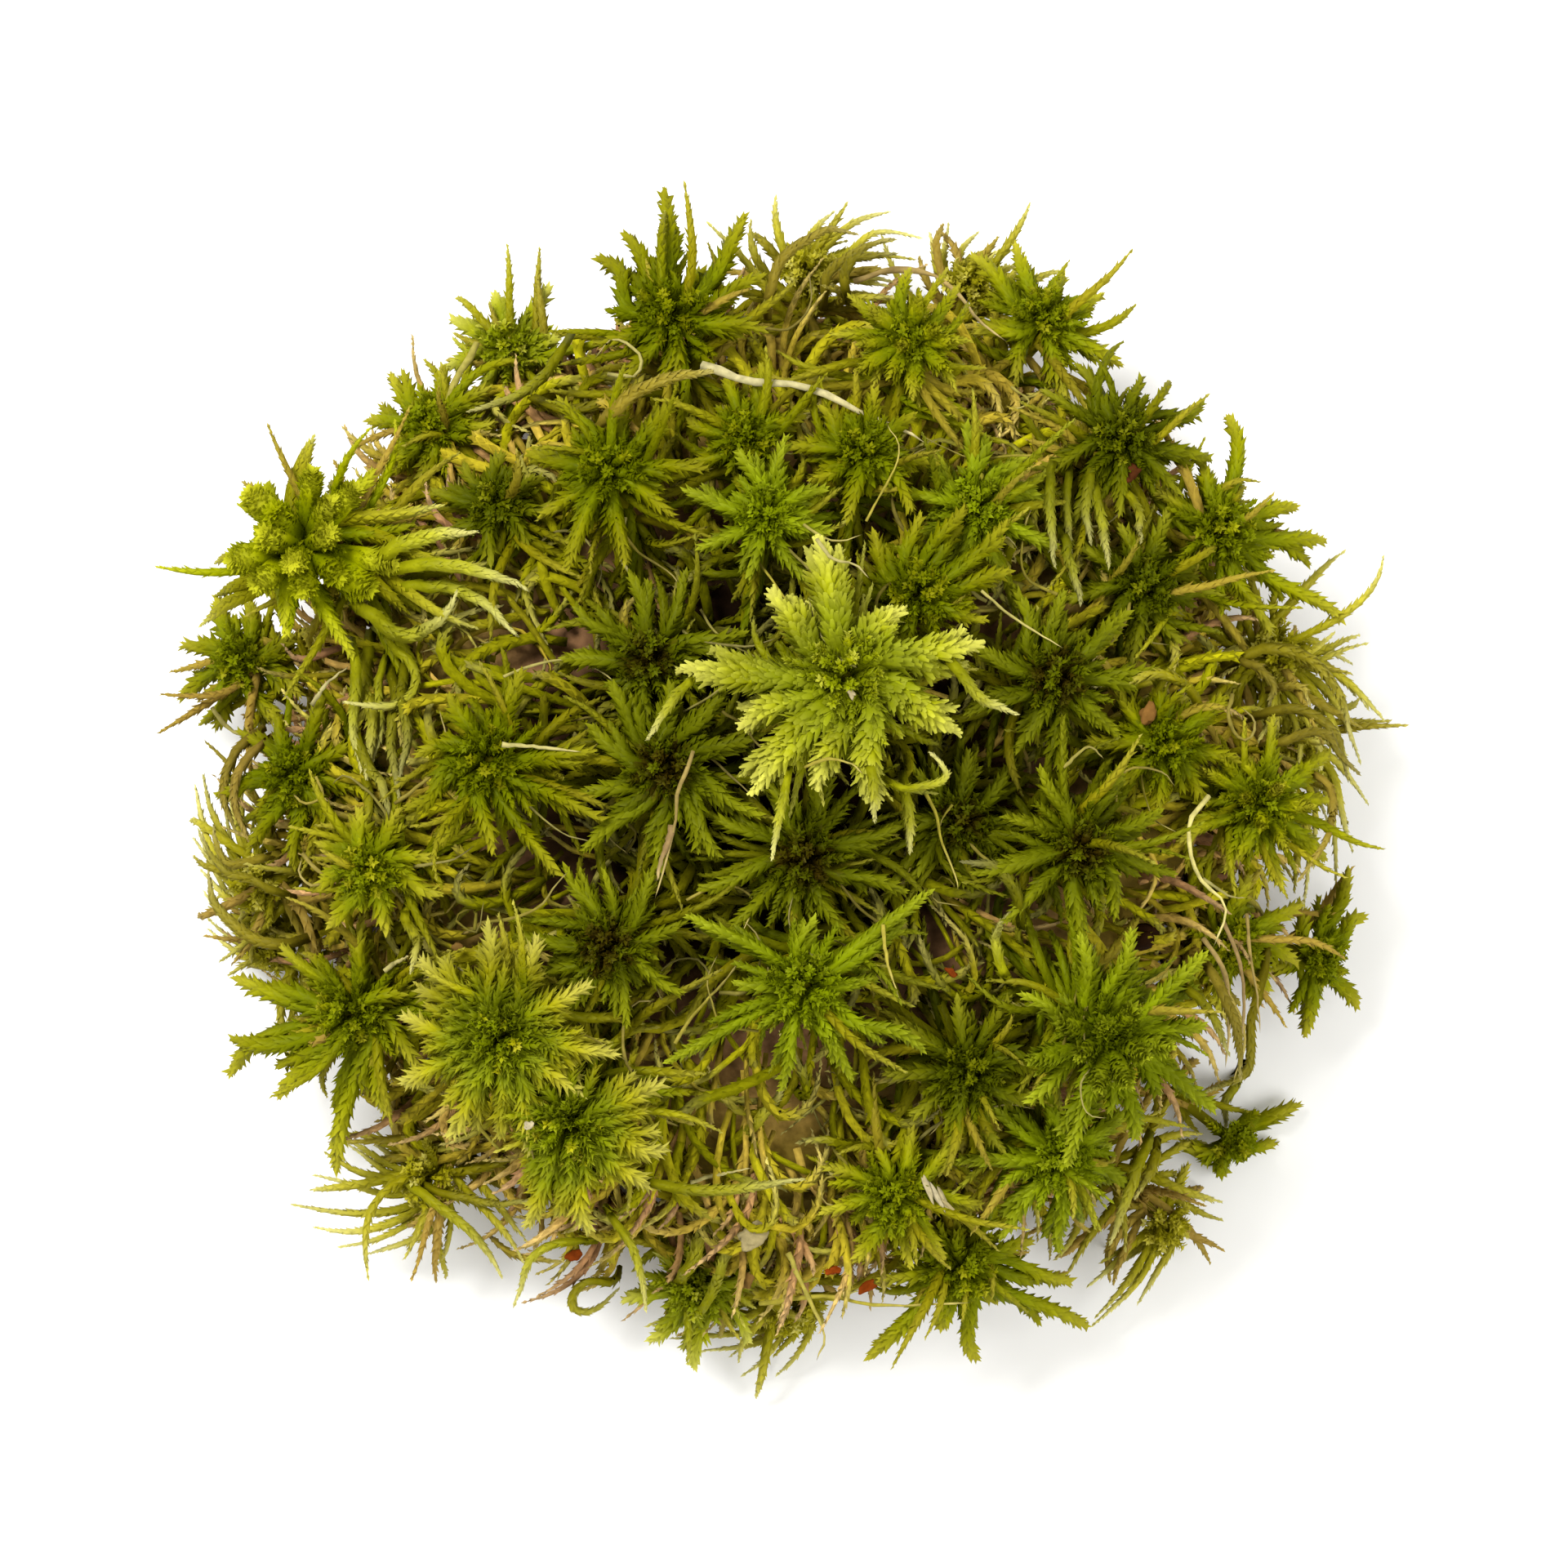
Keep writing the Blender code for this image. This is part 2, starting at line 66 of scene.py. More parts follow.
MM = 0.001
PX_PER_MM = 18.0
MIDDLE_PX = (945.0, 956.0)  # the pixel that stands over the clump's origin
FRAME_PX = 1920
GOLDEN_TURN = math.radians(137.5)  # from one leaf to the next round a branch
DOWN = np.array((0.0, 0.0, -1.0))
HEART = np.array((0.0, 0.0, 7.0))  # all the stems point here
FLOOR_GAP = 0.25  # a strand that reaches the table lies this far above it
RIM = 32.0  # how far out the heads at the clump's edge stand


# Small helpers


def unit(vectors: Array) -> Array:
    """Vectors of length one, the same way as those given, along the last axis."""
    return vectors / np.maximum(np.linalg.norm(vectors, axis=-1, keepdims=True), 1e-12)


def dot(a: Array, b: Array) -> Array:
    """The dot product over the last axis, which is kept with a length of one."""
    return (a * b).sum(axis=-1, keepdims=True)


def outness(points: Array) -> Array:
    """How near the rim each centreline lies, from 0 in the middle to about 1."""
    return np.hypot(points[..., 0], points[..., 1]).mean(axis=1) / RIM


def seeded(name: str) -> Rng:
    """Random numbers that are always the same for a piece of that name."""
    return np.random.default_rng(zlib.crc32(name.encode()))


def at_pixel(x: float, y: float) -> Place:
    """Where a pixel of the reference, from its left and its top, lies on the clump in millimetres."""
    return (x - MIDDLE_PX[0]) / PX_PER_MM, (MIDDLE_PX[1] - y) / PX_PER_MM


def linear(colour: str) -> tuple[float, float, float, float]:
    """Turns an sRGB colour to a linear one.

    Args:
        colour: A hex value such as "#8f9a12".

    Returns:
        Its red, green and blue, and an alpha of one.
    """
    parts = [int(colour[i : i + 2], 16) / 255 for i in (1, 3, 5)]
    channels = [((c + 0.055) / 1.055) ** 2.4 if c > 0.04045 else c / 12.92 for c in parts]
    return channels[0], channels[1], channels[2], 1.0


def smooth_path(points: Array, count: int) -> Array:
    """A smooth curve through a few points.

    Args:
        points: The points to pass through, in order.
        count: How many points to return.

    Returns:
        Points spaced evenly along the curve.
    """
    fineness = 8  # steps worked out between each two points
    before, after = 2 * points[0] - points[1], 2 * points[-1] - points[-2]
    padded = np.vstack([before, points, after])
    turns = np.linspace(0, len(points) - 1, fineness * (len(points) - 1) + 1)
    start = np.minimum(turns.astype(int), len(points) - 2)
    f = (turns - start)[:, None]
    a, b, c, d = (padded[start + k] for k in range(4))
    square, cube = 2 * a - 5 * b + 4 * c - d, 3 * b - a - 3 * c + d
    fine = 0.5 * (2 * b + (c - a) * f + square * f**2 + cube * f**3)
    run = np.concatenate([[0.0], np.cumsum(np.linalg.norm(np.diff(fine, axis=0), axis=1))])
    spots = np.linspace(0, run[-1], count)
    return np.stack([np.interp(spots, run, fine[:, axis]) for axis in range(3)], axis=1)


def growth(
    starts: Array, headings: Array, lengths: Array, sag: Array, wander: float, count: int, rng: Rng
) -> Array:
    """Centrelines that set out straight and bend as they go.

    Args:
        starts: Where each begins.
        headings: The way each sets out.
        lengths: The length of each.
        sag: How strongly each turns downwards, or upwards where it is negative.
        wander: How strongly they all turn at random.
        count: Points in each centreline.
        rng: Random numbers.

    Returns:
        An array of centrelines, points and coordinates.
    """
    kept, added = 0.75, 0.66  # how much of its drift a branch keeps at each step, and how much is new
    points = np.empty((len(starts), count, 3))
    points[:, 0] = starts
    way = unit(headings)
    drift = rng.normal(0, wander, way.shape)
    share = 1 / (count - 1)
    for k in range(1, count):
        drift = kept * drift + rng.normal(0, added * wander, way.shape)
        way = unit(way + (DOWN * sag[:, None] + drift) * share)
        points[:, k] = points[:, k - 1] + way * (lengths * share)[:, None]
    return points


# Meshes that are copied many times


@dataclass(frozen=True)
class Stamp:
    """A small mesh that is copied many times.

    Attributes:
        corners: The place of each corner.
        triangles: Three corner numbers for each face.
    """

    corners: Array
    triangles: Array

    @classmethod
    def of(cls, bm: bmesh.types.BMesh) -> "Stamp":
        """Reads a bmesh and frees it.

        Args:
            bm: The mesh, of any faces.

        Returns:
            The stamp.
        """
        bmesh.ops.triangulate(bm, faces=bm.faces)
        bm.verts.index_update()
        corners = np.array([vert.co[:] for vert in bm.verts])
        triangles = np.array([[vert.index for vert in face.verts] for face in bm.faces])
        bm.free()
        return cls(corners, triangles)

    @classmethod
    def ball(cls, detail: int, radius: float) -> "Stamp":
        """A ball of that radius, more finely faceted the higher the detail."""
        bm = bmesh.new()
        bmesh.ops.create_icosphere(bm, subdivisions=detail, radius=radius)
        return cls.of(bm)


def leaf_stamp(segments: int) -> Stamp:
    """A leaf one unit long and one wide, keeled like a boat turned over.

    Args:
        segments: Corners in its outline, an even number.

    Returns:
        The leaf, which lies along +X from its base at the origin, with its keel towards +Z.
    """
    narrowing, keel, lowering = 0.6, 0.4, 1.3  # of its outer half, of its sides, of its widest place
    bm = bmesh.new()
    bmesh.ops.create_circle(bm, cap_ends=True, segments=segments, radius=0.5)
    bmesh.ops.translate(bm, verts=bm.verts, vec=(0.5, 0, 0))
    ends = [vert for vert in bm.verts if abs(vert.co.y) < 0.01]
    bmesh.ops.connect_verts(bm, verts=ends)
    for vert in bm.verts:
        vert.co.y *= 1 - narrowing * max(vert.co.x - 0.5, 0.0)
        vert.co.z = -keel * abs(vert.co.y)
        vert.co.x = max(vert.co.x, 0.0) ** lowering
    return Stamp.of(bm)


def strand_stamp(sides: int, rings: int) -> Stamp:
    """A tapering tube whose corners hold their place round it in X and Y, and their ring in Z.

    Args:
        sides: Corners in each ring.
        rings: Rings from its closed base up to its point.

    Returns:
        The tube.
    """
    bm = bmesh.new()
    bmesh.ops.create_circle(bm, cap_ends=True, segments=sides, radius=1.0)
    rim = bm.edges[:]
    for _ in range(rings):
        grown = bmesh.ops.extrude_edge_only(bm, edges=rim)["geom"]
        rim = [part for part in grown if isinstance(part, bmesh.types.BMEdge)]
        verts = [part for part in grown if isinstance(part, bmesh.types.BMVert)]
        bmesh.ops.translate(bm, verts=verts, vec=(0, 0, 1))
    bmesh.ops.pointmerge(bm, verts=verts, merge_co=(0, 0, rings))
    bmesh.ops.recalc_face_normals(bm, faces=bm.faces)
    return Stamp.of(bm)


@dataclass
class Strands:
    """Many centrelines with the same number of points.

    Attributes:
        points: Centrelines, points and coordinates.
        age: How dead each is, from 0, fresh, over 1, limp or rotten, to 2, dry.
        light: How much painted light each gets, from 0, in painted shade, to 1.
        ripe: How far each gets from the heart's colour to the tips', from 0 to 1.
        tangents: The way each runs at each point.
        sides: A way across each at each point.
        fronts: The way across both of those.
    """

    points: Array
    age: Array
    light: Array
    ripe: Array
    tangents: Array = field(init=False)
    sides: Array = field(init=False)
    fronts: Array = field(init=False)

    STEEP = 0.8  # a strand that starts steeper takes its side from X, and any other from Z

    def __post_init__(self) -> None:
        """Works out the axes, turning them no more than each centreline does."""
        steps = np.diff(self.points, axis=1)
        self.tangents = unit(np.concatenate([steps, steps[:, -1:]], axis=1))
        first = self.tangents[:, 0]
        helper = np.where(np.abs(first[:, 2:]) < self.STEEP, [[0.0, 0.0, 1.0]], [[1.0, 0.0, 0.0]])
        side = np.cross(first, helper)
        self.sides = np.empty_like(self.points)
        for k in range(self.points.shape[1]):
            side = unit(side - dot(side, self.tangents[:, k]) * self.tangents[:, k])
            self.sides[:, k] = side
        self.fronts = np.cross(self.tangents, self.sides)

    @property
    def lengths(self) -> Array:
        """The length of each centreline."""
        return np.linalg.norm(np.diff(self.points, axis=1), axis=2).sum(axis=1)

    def only(self, chosen: Array) -> "Strands":
        """Some of the strands, by a true or false for each."""
        return Strands(self.points[chosen], self.age[chosen], self.light[chosen], self.ripe[chosen])

    def between(self, values: Array, which: Array, along: Array) -> Array:
        """Reads values given at the points at places between them.

        Args:
            values: A value or a vector for each point of each strand.
            which: The strand of each reading.
            along: How far along it each reading is, from 0 to 1.

        Returns:
            A value or a vector for each reading.
        """
        place = along * (self.points.shape[1] - 1)
        low = np.minimum(place.astype(int), self.points.shape[1] - 2)
        share = place - low
        if values.ndim == 3:
            share = share[:, None]
        return values[which, low] * (1 - share) + values[which, low + 1] * share


@dataclass(frozen=True)
class Clothing:
    """How one kind of branch is clothed in leaves.

    Attributes:
        core: Radius of the bare branch at its thickest.
        leaf: Length of its longest leaves.
        slender: A leaf's width as a share of its length.
        spacing: Length of branch to each leaf.
        spread: Angle between leaf and branch at its base, its middle and its tip.
        unrest: How far a leaf's angle may be off that.
        shrink: How much shorter the leaves are at the tip.
        blunt: How far along the branch stays thick, where 2 is an even taper and 8 a rounded end.
        sides: Sides of the core.
        segments: Corners in a leaf's outline.
    """

    core: float
    leaf: float
    slender: float
    spacing: float
    spread: tuple[float, float, float]
    unrest: float = 7.0
    shrink: float = 0.45
    blunt: float = 2.2
    sides: int = 4
    segments: int = 4

    BASE, SWELL = 0.75, 0.6  # share of the radius at the base, and how much of it is gained to the tip
    ROUNDING, POINT = 0.8, 0.03  # how roundly the branch ends, and the share that is left there
    GIRTHS = (0.8, 1.2)  # least and most girth of a branch beside its neighbours

    def girth(self, strands: Strands, rng: Rng) -> Array:
        """How thick the bare branches are: fullest before the middle, fine at the tip.

        Args:
            strands: The branches' centrelines.
            rng: Random numbers.

        Returns:
            The core's radius at each point of each.
        """
        along = np.linspace(0, 1, strands.points.shape[1])
        swelling = self.BASE + self.SWELL * along
        profile = swelling * (1 - along**self.blunt) ** self.ROUNDING + self.POINT
        return self.core * profile[None] * rng.uniform(*self.GIRTHS, (len(strands.points), 1))


class Pile:
    """The mesh of one piece while strands and leaves are being added to it."""

    MARKS = ("along", "leaf", "chance", "age", "light")
    CORE_LEAF = 0.25  # a bare branch has the colour that its leaves have this far along
    TURN_UNREST = 0.15  # how far a leaf may be off its place round the branch, in radians
    MIDDLE = 0.55  # how far along a branch its middle spread is reached
    LEAF_SIZES = (0.8, 1.15)  # least and most size of a leaf beside its neighbours
    SHRINK_LATE = 1.5  # the higher, the closer to the tip the leaves get shorter
    SEATED = 0.8  # a leaf's base is this far out from the branch's middle, in radii

    def __init__(self, name: str) -> None:
        """Starts an empty pile.

        Args:
            name: The name of the piece, which also seeds its random numbers.
        """
        self.name = name
        self.rng = seeded(name)
        self.corners: list[Array] = []
        self.triangles: list[Array] = []
        self.marks: dict[str, list[Array]] = {mark: [] for mark in self.MARKS}
        self.count = 0

    def add(self, corners: Array, stamp: Stamp, **marks: Array) -> None:
        """Adds copies of a stamp.

        Args:
            corners: Copies, corners and coordinates, in millimetres.
            stamp: What they are copies of.
            **marks: A value for each corner of each copy, or for each copy, by mark.
        """
        copies, size = corners.shape[:2]
        offsets = self.count + size * np.arange(copies)
        self.corners.append(corners.reshape(-1, 3))
        self.triangles.append((stamp.triangles[None] + offsets[:, None, None]).reshape(-1, 3))
        for mark, parts in self.marks.items():
            parts.append(np.broadcast_to(marks[mark], (copies, size)).reshape(-1))
        self.count += copies * size

    def add_cores(self, strands: Strands, girth: Array, sides: int) -> None:
        """Adds the bare branches or stems.

        Args:
            strands: Their centrelines.
            girth: Radius at each point of each.
            sides: Sides of each.
        """
        stamp = strand_stamp(sides, strands.points.shape[1] - 1)
        ring = np.round(stamp.corners[:, 2]).astype(int)
        across, up = stamp.corners[:, 0], stamp.corners[:, 1]
        radius = girth[:, ring, None]
        corners = strands.points[:, ring] + radius * (
            across[None, :, None] * strands.sides[:, ring] + up[None, :, None] * strands.fronts[:, ring])
        self.add(
            corners, stamp, along=strands.ripe[:, None] * (ring / ring.max())[None],
            leaf=np.full((1, 1), self.CORE_LEAF), chance=self.rng.random((len(strands.points), 1)),
            age=strands.age[:, None], light=strands.light[:, None])

    def add_leaves(self, strands: Strands, girth: Array, clothing: Clothing) -> None:
        """Adds the leaves of the branches, spiralling up each of them.

        Args:
            strands: The branches' centrelines.
            girth: The core's radius at each point of each.
            clothing: How the leaves are set and shaped.
        """
        rng, stamp = self.rng, leaf_stamp(clothing.segments)
        counts = np.maximum((strands.lengths / clothing.spacing).astype(int), 3)
        which = np.repeat(np.arange(len(counts)), counts)
        order = np.arange(counts.sum()) - np.repeat(np.cumsum(counts) - counts, counts)
        along = (order + rng.uniform(0.0, 1.0, len(order))) / counts[which]
        first_turn = rng.uniform(0, math.tau, len(counts))[which]
        turn = order * GOLDEN_TURN + first_turn + rng.normal(0, self.TURN_UNREST, len(order))
        centre = strands.between(strands.points, which, along)
        tangent = unit(strands.between(strands.tangents, which, along))
        side = unit(strands.between(strands.sides, which, along))
        front = np.cross(tangent, side)
        radial = side * np.cos(turn)[:, None] + front * np.sin(turn)[:, None]
        spread = np.interp(along, (0, self.MIDDLE, 1), clothing.spread)
        spread = spread + rng.normal(0, clothing.unrest, len(along))
        lean = np.radians(np.maximum(spread, 1.0))[:, None]
        forward = tangent * np.cos(lean) + radial * np.sin(lean)
        outward = radial * np.cos(lean) - tangent * np.sin(lean)
        sideways = np.cross(outward, forward)
        shorter = 1 - clothing.shrink * along**self.SHRINK_LATE
        length = clothing.leaf * shorter * rng.uniform(*self.LEAF_SIZES, len(along))
        base = centre + radial * (self.SEATED * strands.between(girth, which, along))[:, None]
        x, y, z = stamp.corners.T
        size = length[:, None, None]
        corners = base[:, None] + size * (
            x[None, :, None] * forward[:, None]
            + (clothing.slender * y)[None, :, None] * sideways[:, None]
            + z[None, :, None] * outward[:, None])
        self.add(
            corners, stamp, along=(strands.ripe[which] * along)[:, None], leaf=x[None],
            chance=0.5 * (rng.random((len(along), 1)) + rng.random(len(counts))[which][:, None]),
            age=strands.age[which][:, None], light=strands.light[which][:, None])

    def clothe(self, strands: Strands, clothing: Clothing) -> None:
        """Adds branches with both their cores and their leaves.

        Args:
            strands: Their centrelines. There may be none.
            clothing: How they are clothed.
        """
        if len(strands.points):
            girth = clothing.girth(strands, self.rng)
            self.add_cores(strands, girth, clothing.sides)
            self.add_leaves(strands, girth, clothing)

    def build(self, material: bpy.types.Material) -> bpy.types.Object:
        """Makes the piece.

        Args:
            material: What it is made of.

        Returns:
            The piece, with its marks as attributes.
        """
        corners = np.concatenate(self.corners) * MM
        corners[:, 2] = np.maximum(corners[:, 2], 0.0)
        triangles = np.concatenate(self.triangles)
        mesh = bpy.data.meshes.new(self.name)
        mesh.vertices.add(len(corners))
        mesh.vertices.foreach_set("co", corners.astype(np.float32).ravel())
        mesh.loops.add(triangles.size)
        mesh.loops.foreach_set("vertex_index", triangles.astype(np.int32).ravel())
        mesh.polygons.add(len(triangles))
        mesh.polygons.foreach_set("loop_start", np.arange(0, triangles.size, 3, dtype=np.int32))
        mesh.update(calc_edges=True)
        for mark, parts in self.marks.items():
            layer = mesh.attributes.new(mark, "FLOAT", "POINT")
            layer.data.foreach_set("value", np.concatenate(parts).astype(np.float32))
        mesh.shade_smooth()
        mesh.materials.append(material)
        piece = bpy.data.objects.new(self.name, mesh)
        bpy.context.scene.collection.objects.link(piece)
        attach(piece, "root")
        log.info("%s: %d triangles", self.name, len(triangles))
        return piece


# Finishes


def add_node(
    tree: Tree, kind: str, links: dict[str | int, object], stops: dict[float, str] | None = None,
    **settings: object
) -> bpy.types.Node:
    """Adds a shader node.

    Args:
        tree: The material's nodes.
        kind: The node's type, such as "ShaderNodeMix".
        links: What each input takes, by its name or its number: a number, an sRGB hex colour, or
            another node's output.
        stops: For a ramp, an sRGB hex colour for each place from 0 to 1.
        **settings: Its own settings, such as its operation.

    Returns:
        The node.
    """
    node = tree.nodes.new(kind)
    for name, value in settings.items():
        setattr(node, name, value)
    for label, value in links.items():
        named = (s for s in node.inputs if s.name == label and s.enabled)
        socket = node.inputs[label] if isinstance(label, int) else next(named)
        if isinstance(value, Socket):
            tree.links.new(value, socket)
        else:
            socket.default_value = linear(value) if isinstance(value, str) else value
    if stops:
        elements = node.color_ramp.elements
        while len(elements) < len(stops):
            elements.new(0.5)
        for element, (place, colour) in zip(elements, sorted(stops.items())):
            element.position, element.color = place, linear(colour)
    return node


@dataclass(frozen=True)
class Finish:
    """What the finishes share: a colour by age, darker or lighter by chance, pattern and painted light.

    Attributes:
        name: The material's name.
    """

    name: str

    CHANCE: ClassVar[Place]  # darkest and lightest by chance,
    PATTERN: ClassVar[Place]  # in the pattern's troughs and on its crests,
    LIGHT: ClassVar[Place]  # and in the least and the most painted light
    BUMP: ClassVar[float]  # how strongly the pattern stands out
    BUMP_DEPTH: ClassVar[float]
    ROUGHNESS: ClassVar[float]
    SPECULAR: ClassVar[float]

    def pattern(self, tree: Tree, place: Socket) -> Socket:
        """The pattern on the surface, from 0 to 1, by a place in metres."""
        raise NotImplementedError

    def colour(self, tree: Tree, marks: dict[str, Socket]) -> Socket:
        """The colour before it is made darker or lighter, by a pile's marks."""
        raise NotImplementedError

    def lit(self, tree: Tree, skin: Socket, colour: Socket) -> Socket:
        """The whole of what the eye gets, by the surface's own shader and its colour."""
        return skin

    def material(self) -> bpy.types.Material:
        """Makes the material.

        Returns:
            The material, for a piece that carries a pile's marks.
        """
        material = bpy.data.materials.new(self.name)
        material.use_nodes = True
        tree = material.node_tree
        tree.nodes.clear()
        marks = {
            mark: add_node(tree, "ShaderNodeAttribute", {}, attribute_name=mark).outputs["Fac"]
            for mark in Pile.MARKS
        }
        pattern = self.pattern(tree, add_node(tree, "ShaderNodeTexCoord", {}).outputs["Object"])
        shade = None
        for value, (low, high) in (
            (marks["chance"], self.CHANCE), (pattern, self.PATTERN), (marks["light"], self.LIGHT),
        ):
            links = {"Value": value, "To Min": low, "To Max": high}
            factor = add_node(tree, "ShaderNodeMapRange", links).outputs[0]
            if shade:
                links = {0: shade, 1: factor}
                factor = add_node(tree, "ShaderNodeMath", links, operation="MULTIPLY").outputs[0]
            shade = factor
        links = {"Color": self.colour(tree, marks), "Value": shade}
        colour = add_node(tree, "ShaderNodeHueSaturation", links).outputs[0]
        bump = add_node(
            tree, "ShaderNodeBump",
            {"Height": pattern, "Strength": self.BUMP, "Distance": self.BUMP_DEPTH * MM})
        skin = add_node(tree, "ShaderNodeBsdfPrincipled", {
            "Base Color": colour, "Roughness": self.ROUGHNESS, "Specular IOR Level": self.SPECULAR,
            "Normal": bump.outputs[0]})
        add_node(
            tree, "ShaderNodeOutputMaterial", {"Surface": self.lit(tree, skin.outputs[0], colour)})
        return material


@dataclass(frozen=True)
class LeafFinish(Finish):
    """Living moss leaf: one cell thick, so light comes through it, and wet, so it shines a little.

    Attributes:
        heart: Colour of the young leaves in the bud.
        blade: Colour halfway along a branch.
        tip: Colour at a branch's tip.
        hanging: Colour of the older branches below the head.
        glow: Share of the light that comes through.
        paleness: How far the leaves' own tips go to their paler colour.
        heart_size: How far the heart's colour reaches along a branch, as a share.
        edge: Colour of the leaves' own tips, where it isn't that of the branch's.
    """

    heart: str
    blade: str
    tip: str
    hanging: str = "#8a820c"
    glow: float = 0.32
    paleness: float = 0.42
    heart_size: float = 0.3
    edge: str = ""

    CHANCE, PATTERN, LIGHT = (0.8, 1.17), (0.83, 1.17), (0.42, 1.13)
    BUMP, BUMP_DEPTH = 0.5, 0.05
    ROUGHNESS, SPECULAR = 0.45, 0.035
    CELL_PATCH = 0.35  # size of the paler patches, where empty cells hold air
    SHADY, LIMP, WILTED = "#6c6600", "#9e962e", "#c2bc78"  # a hanging branch, from its root out
    DRY = "#a2883c"  # what hanging branches fade to as they dry, at ages from 1 to 2
    YOUNG_PALENESS = 0.12  # how much of the paleness the leaves in the bud have

    def pattern(self, tree: Tree, place: Socket) -> Socket:
        """Soft patches, where cells are empty."""
        links = {"Vector": place, "Scale": 1 / (self.CELL_PATCH * MM), "Detail": 2.0}
        return add_node(tree, "ShaderNodeTexNoise", links).outputs[0]

    def colour(self, tree: Tree, marks: dict[str, Socket]) -> Socket:
        """Green that ripens along the branch, fades with age and pales at each leaf's tip.

        Args:
            tree: The material's nodes.
            marks: A pile's marks.

        Returns:
            The colour.
        """
        ripened = 1.6 * self.heart_size + 0.1
        head = {0.0: self.heart, self.heart_size: self.heart, ripened: self.blade, 1.0: self.tip}
        older = {0.0: self.SHADY, 0.45: self.hanging, 0.8: self.LIMP, 1.0: self.WILTED}
        head, older = (
            add_node(tree, "ShaderNodeValToRGB", {"Fac": marks["along"]}, stops).outputs["Color"]
            for stops in (head, older))
        dryness = add_node(
            tree, "ShaderNodeMapRange", {"Value": marks["age"], "From Min": 1.0, "From Max": 2.0})
        outward = add_node(tree, "ShaderNodeMath", {0: marks["leaf"], 1: 2.0}, operation="POWER")
        ripe = add_node(tree, "ShaderNodeMapRange", {
            "Value": marks["along"], "To Min": self.YOUNG_PALENESS * self.paleness,
            "To Max": self.paleness})
        paler = add_node(
            tree, "ShaderNodeMath", {0: outward.outputs[0], 1: ripe.outputs[0]}, operation="MULTIPLY")
        colour = head
        for share, other in (
            (marks["age"], older), (dryness.outputs[0], self.DRY),
            (paler.outputs[0], self.edge or self.tip),
        ):
            links = {0: share, 6: colour, 7: other}
            colour = add_node(tree, "ShaderNodeMix", links, data_type="RGBA").outputs[2]
        return colour

    def lit(self, tree: Tree, skin: Socket, colour: Socket) -> Socket:
        """Adds the light that comes through the leaf."""
        through = add_node(tree, "ShaderNodeBsdfTranslucent", {"Color": colour})
        links = {0: self.glow, 1: skin, 2: through.outputs[0]}
        return add_node(tree, "ShaderNodeMixShader", links).outputs[0]


@dataclass(frozen=True)
class DeadFinish(Finish):
    """Dead moss stem: matt, bleached to straw where it is dry and brown where it rots.

    Attributes:
        stops: Colour by age.
    """

    stops: tuple[tuple[float, str], ...]

    CHANCE, PATTERN, LIGHT = (0.6, 1.3), (0.45, 1.5), (0.2, 1.1)
    BUMP, BUMP_DEPTH = 0.6, 0.08
    ROUGHNESS, SPECULAR = 0.7, 0.025
    FIBRE = 0.5  # width of the darker streaks
    FIBRE_LENGTHS = 6.0  # and their length, in widths, as they run downwards
    TIP, TIP_SHARE = "#cabb84", 0.45  # what a strand pales to at its tip, and how far it goes to it

    def pattern(self, tree: Tree, place: Socket) -> Socket:
        """Streaks that run downwards."""
        finest = 1 / (self.FIBRE * MM)
        links = {"Vector": place, "Scale": (finest, finest, finest / self.FIBRE_LENGTHS)}
        drawn_out = add_node(tree, "ShaderNodeMapping", links)
        links = {"Vector": drawn_out.outputs[0], "Scale": 1.0, "Detail": 4.0}
        return add_node(tree, "ShaderNodeTexNoise", links).outputs[0]

    def colour(self, tree: Tree, marks: dict[str, Socket]) -> Socket:
        """Straw to brown by age, paler in the outer half of each strand."""
        aged = add_node(tree, "ShaderNodeValToRGB", {"Fac": marks["age"]}, dict(self.stops))
        links = {"Value": marks["along"], "From Min": 0.5, "To Max": self.TIP_SHARE}
        ends = add_node(tree, "ShaderNodeMapRange", links)
        links = {0: ends.outputs[0], 6: aged.outputs["Color"], 7: self.TIP}
        return add_node(tree, "ShaderNodeMix", links, data_type="RGBA").outputs[2]


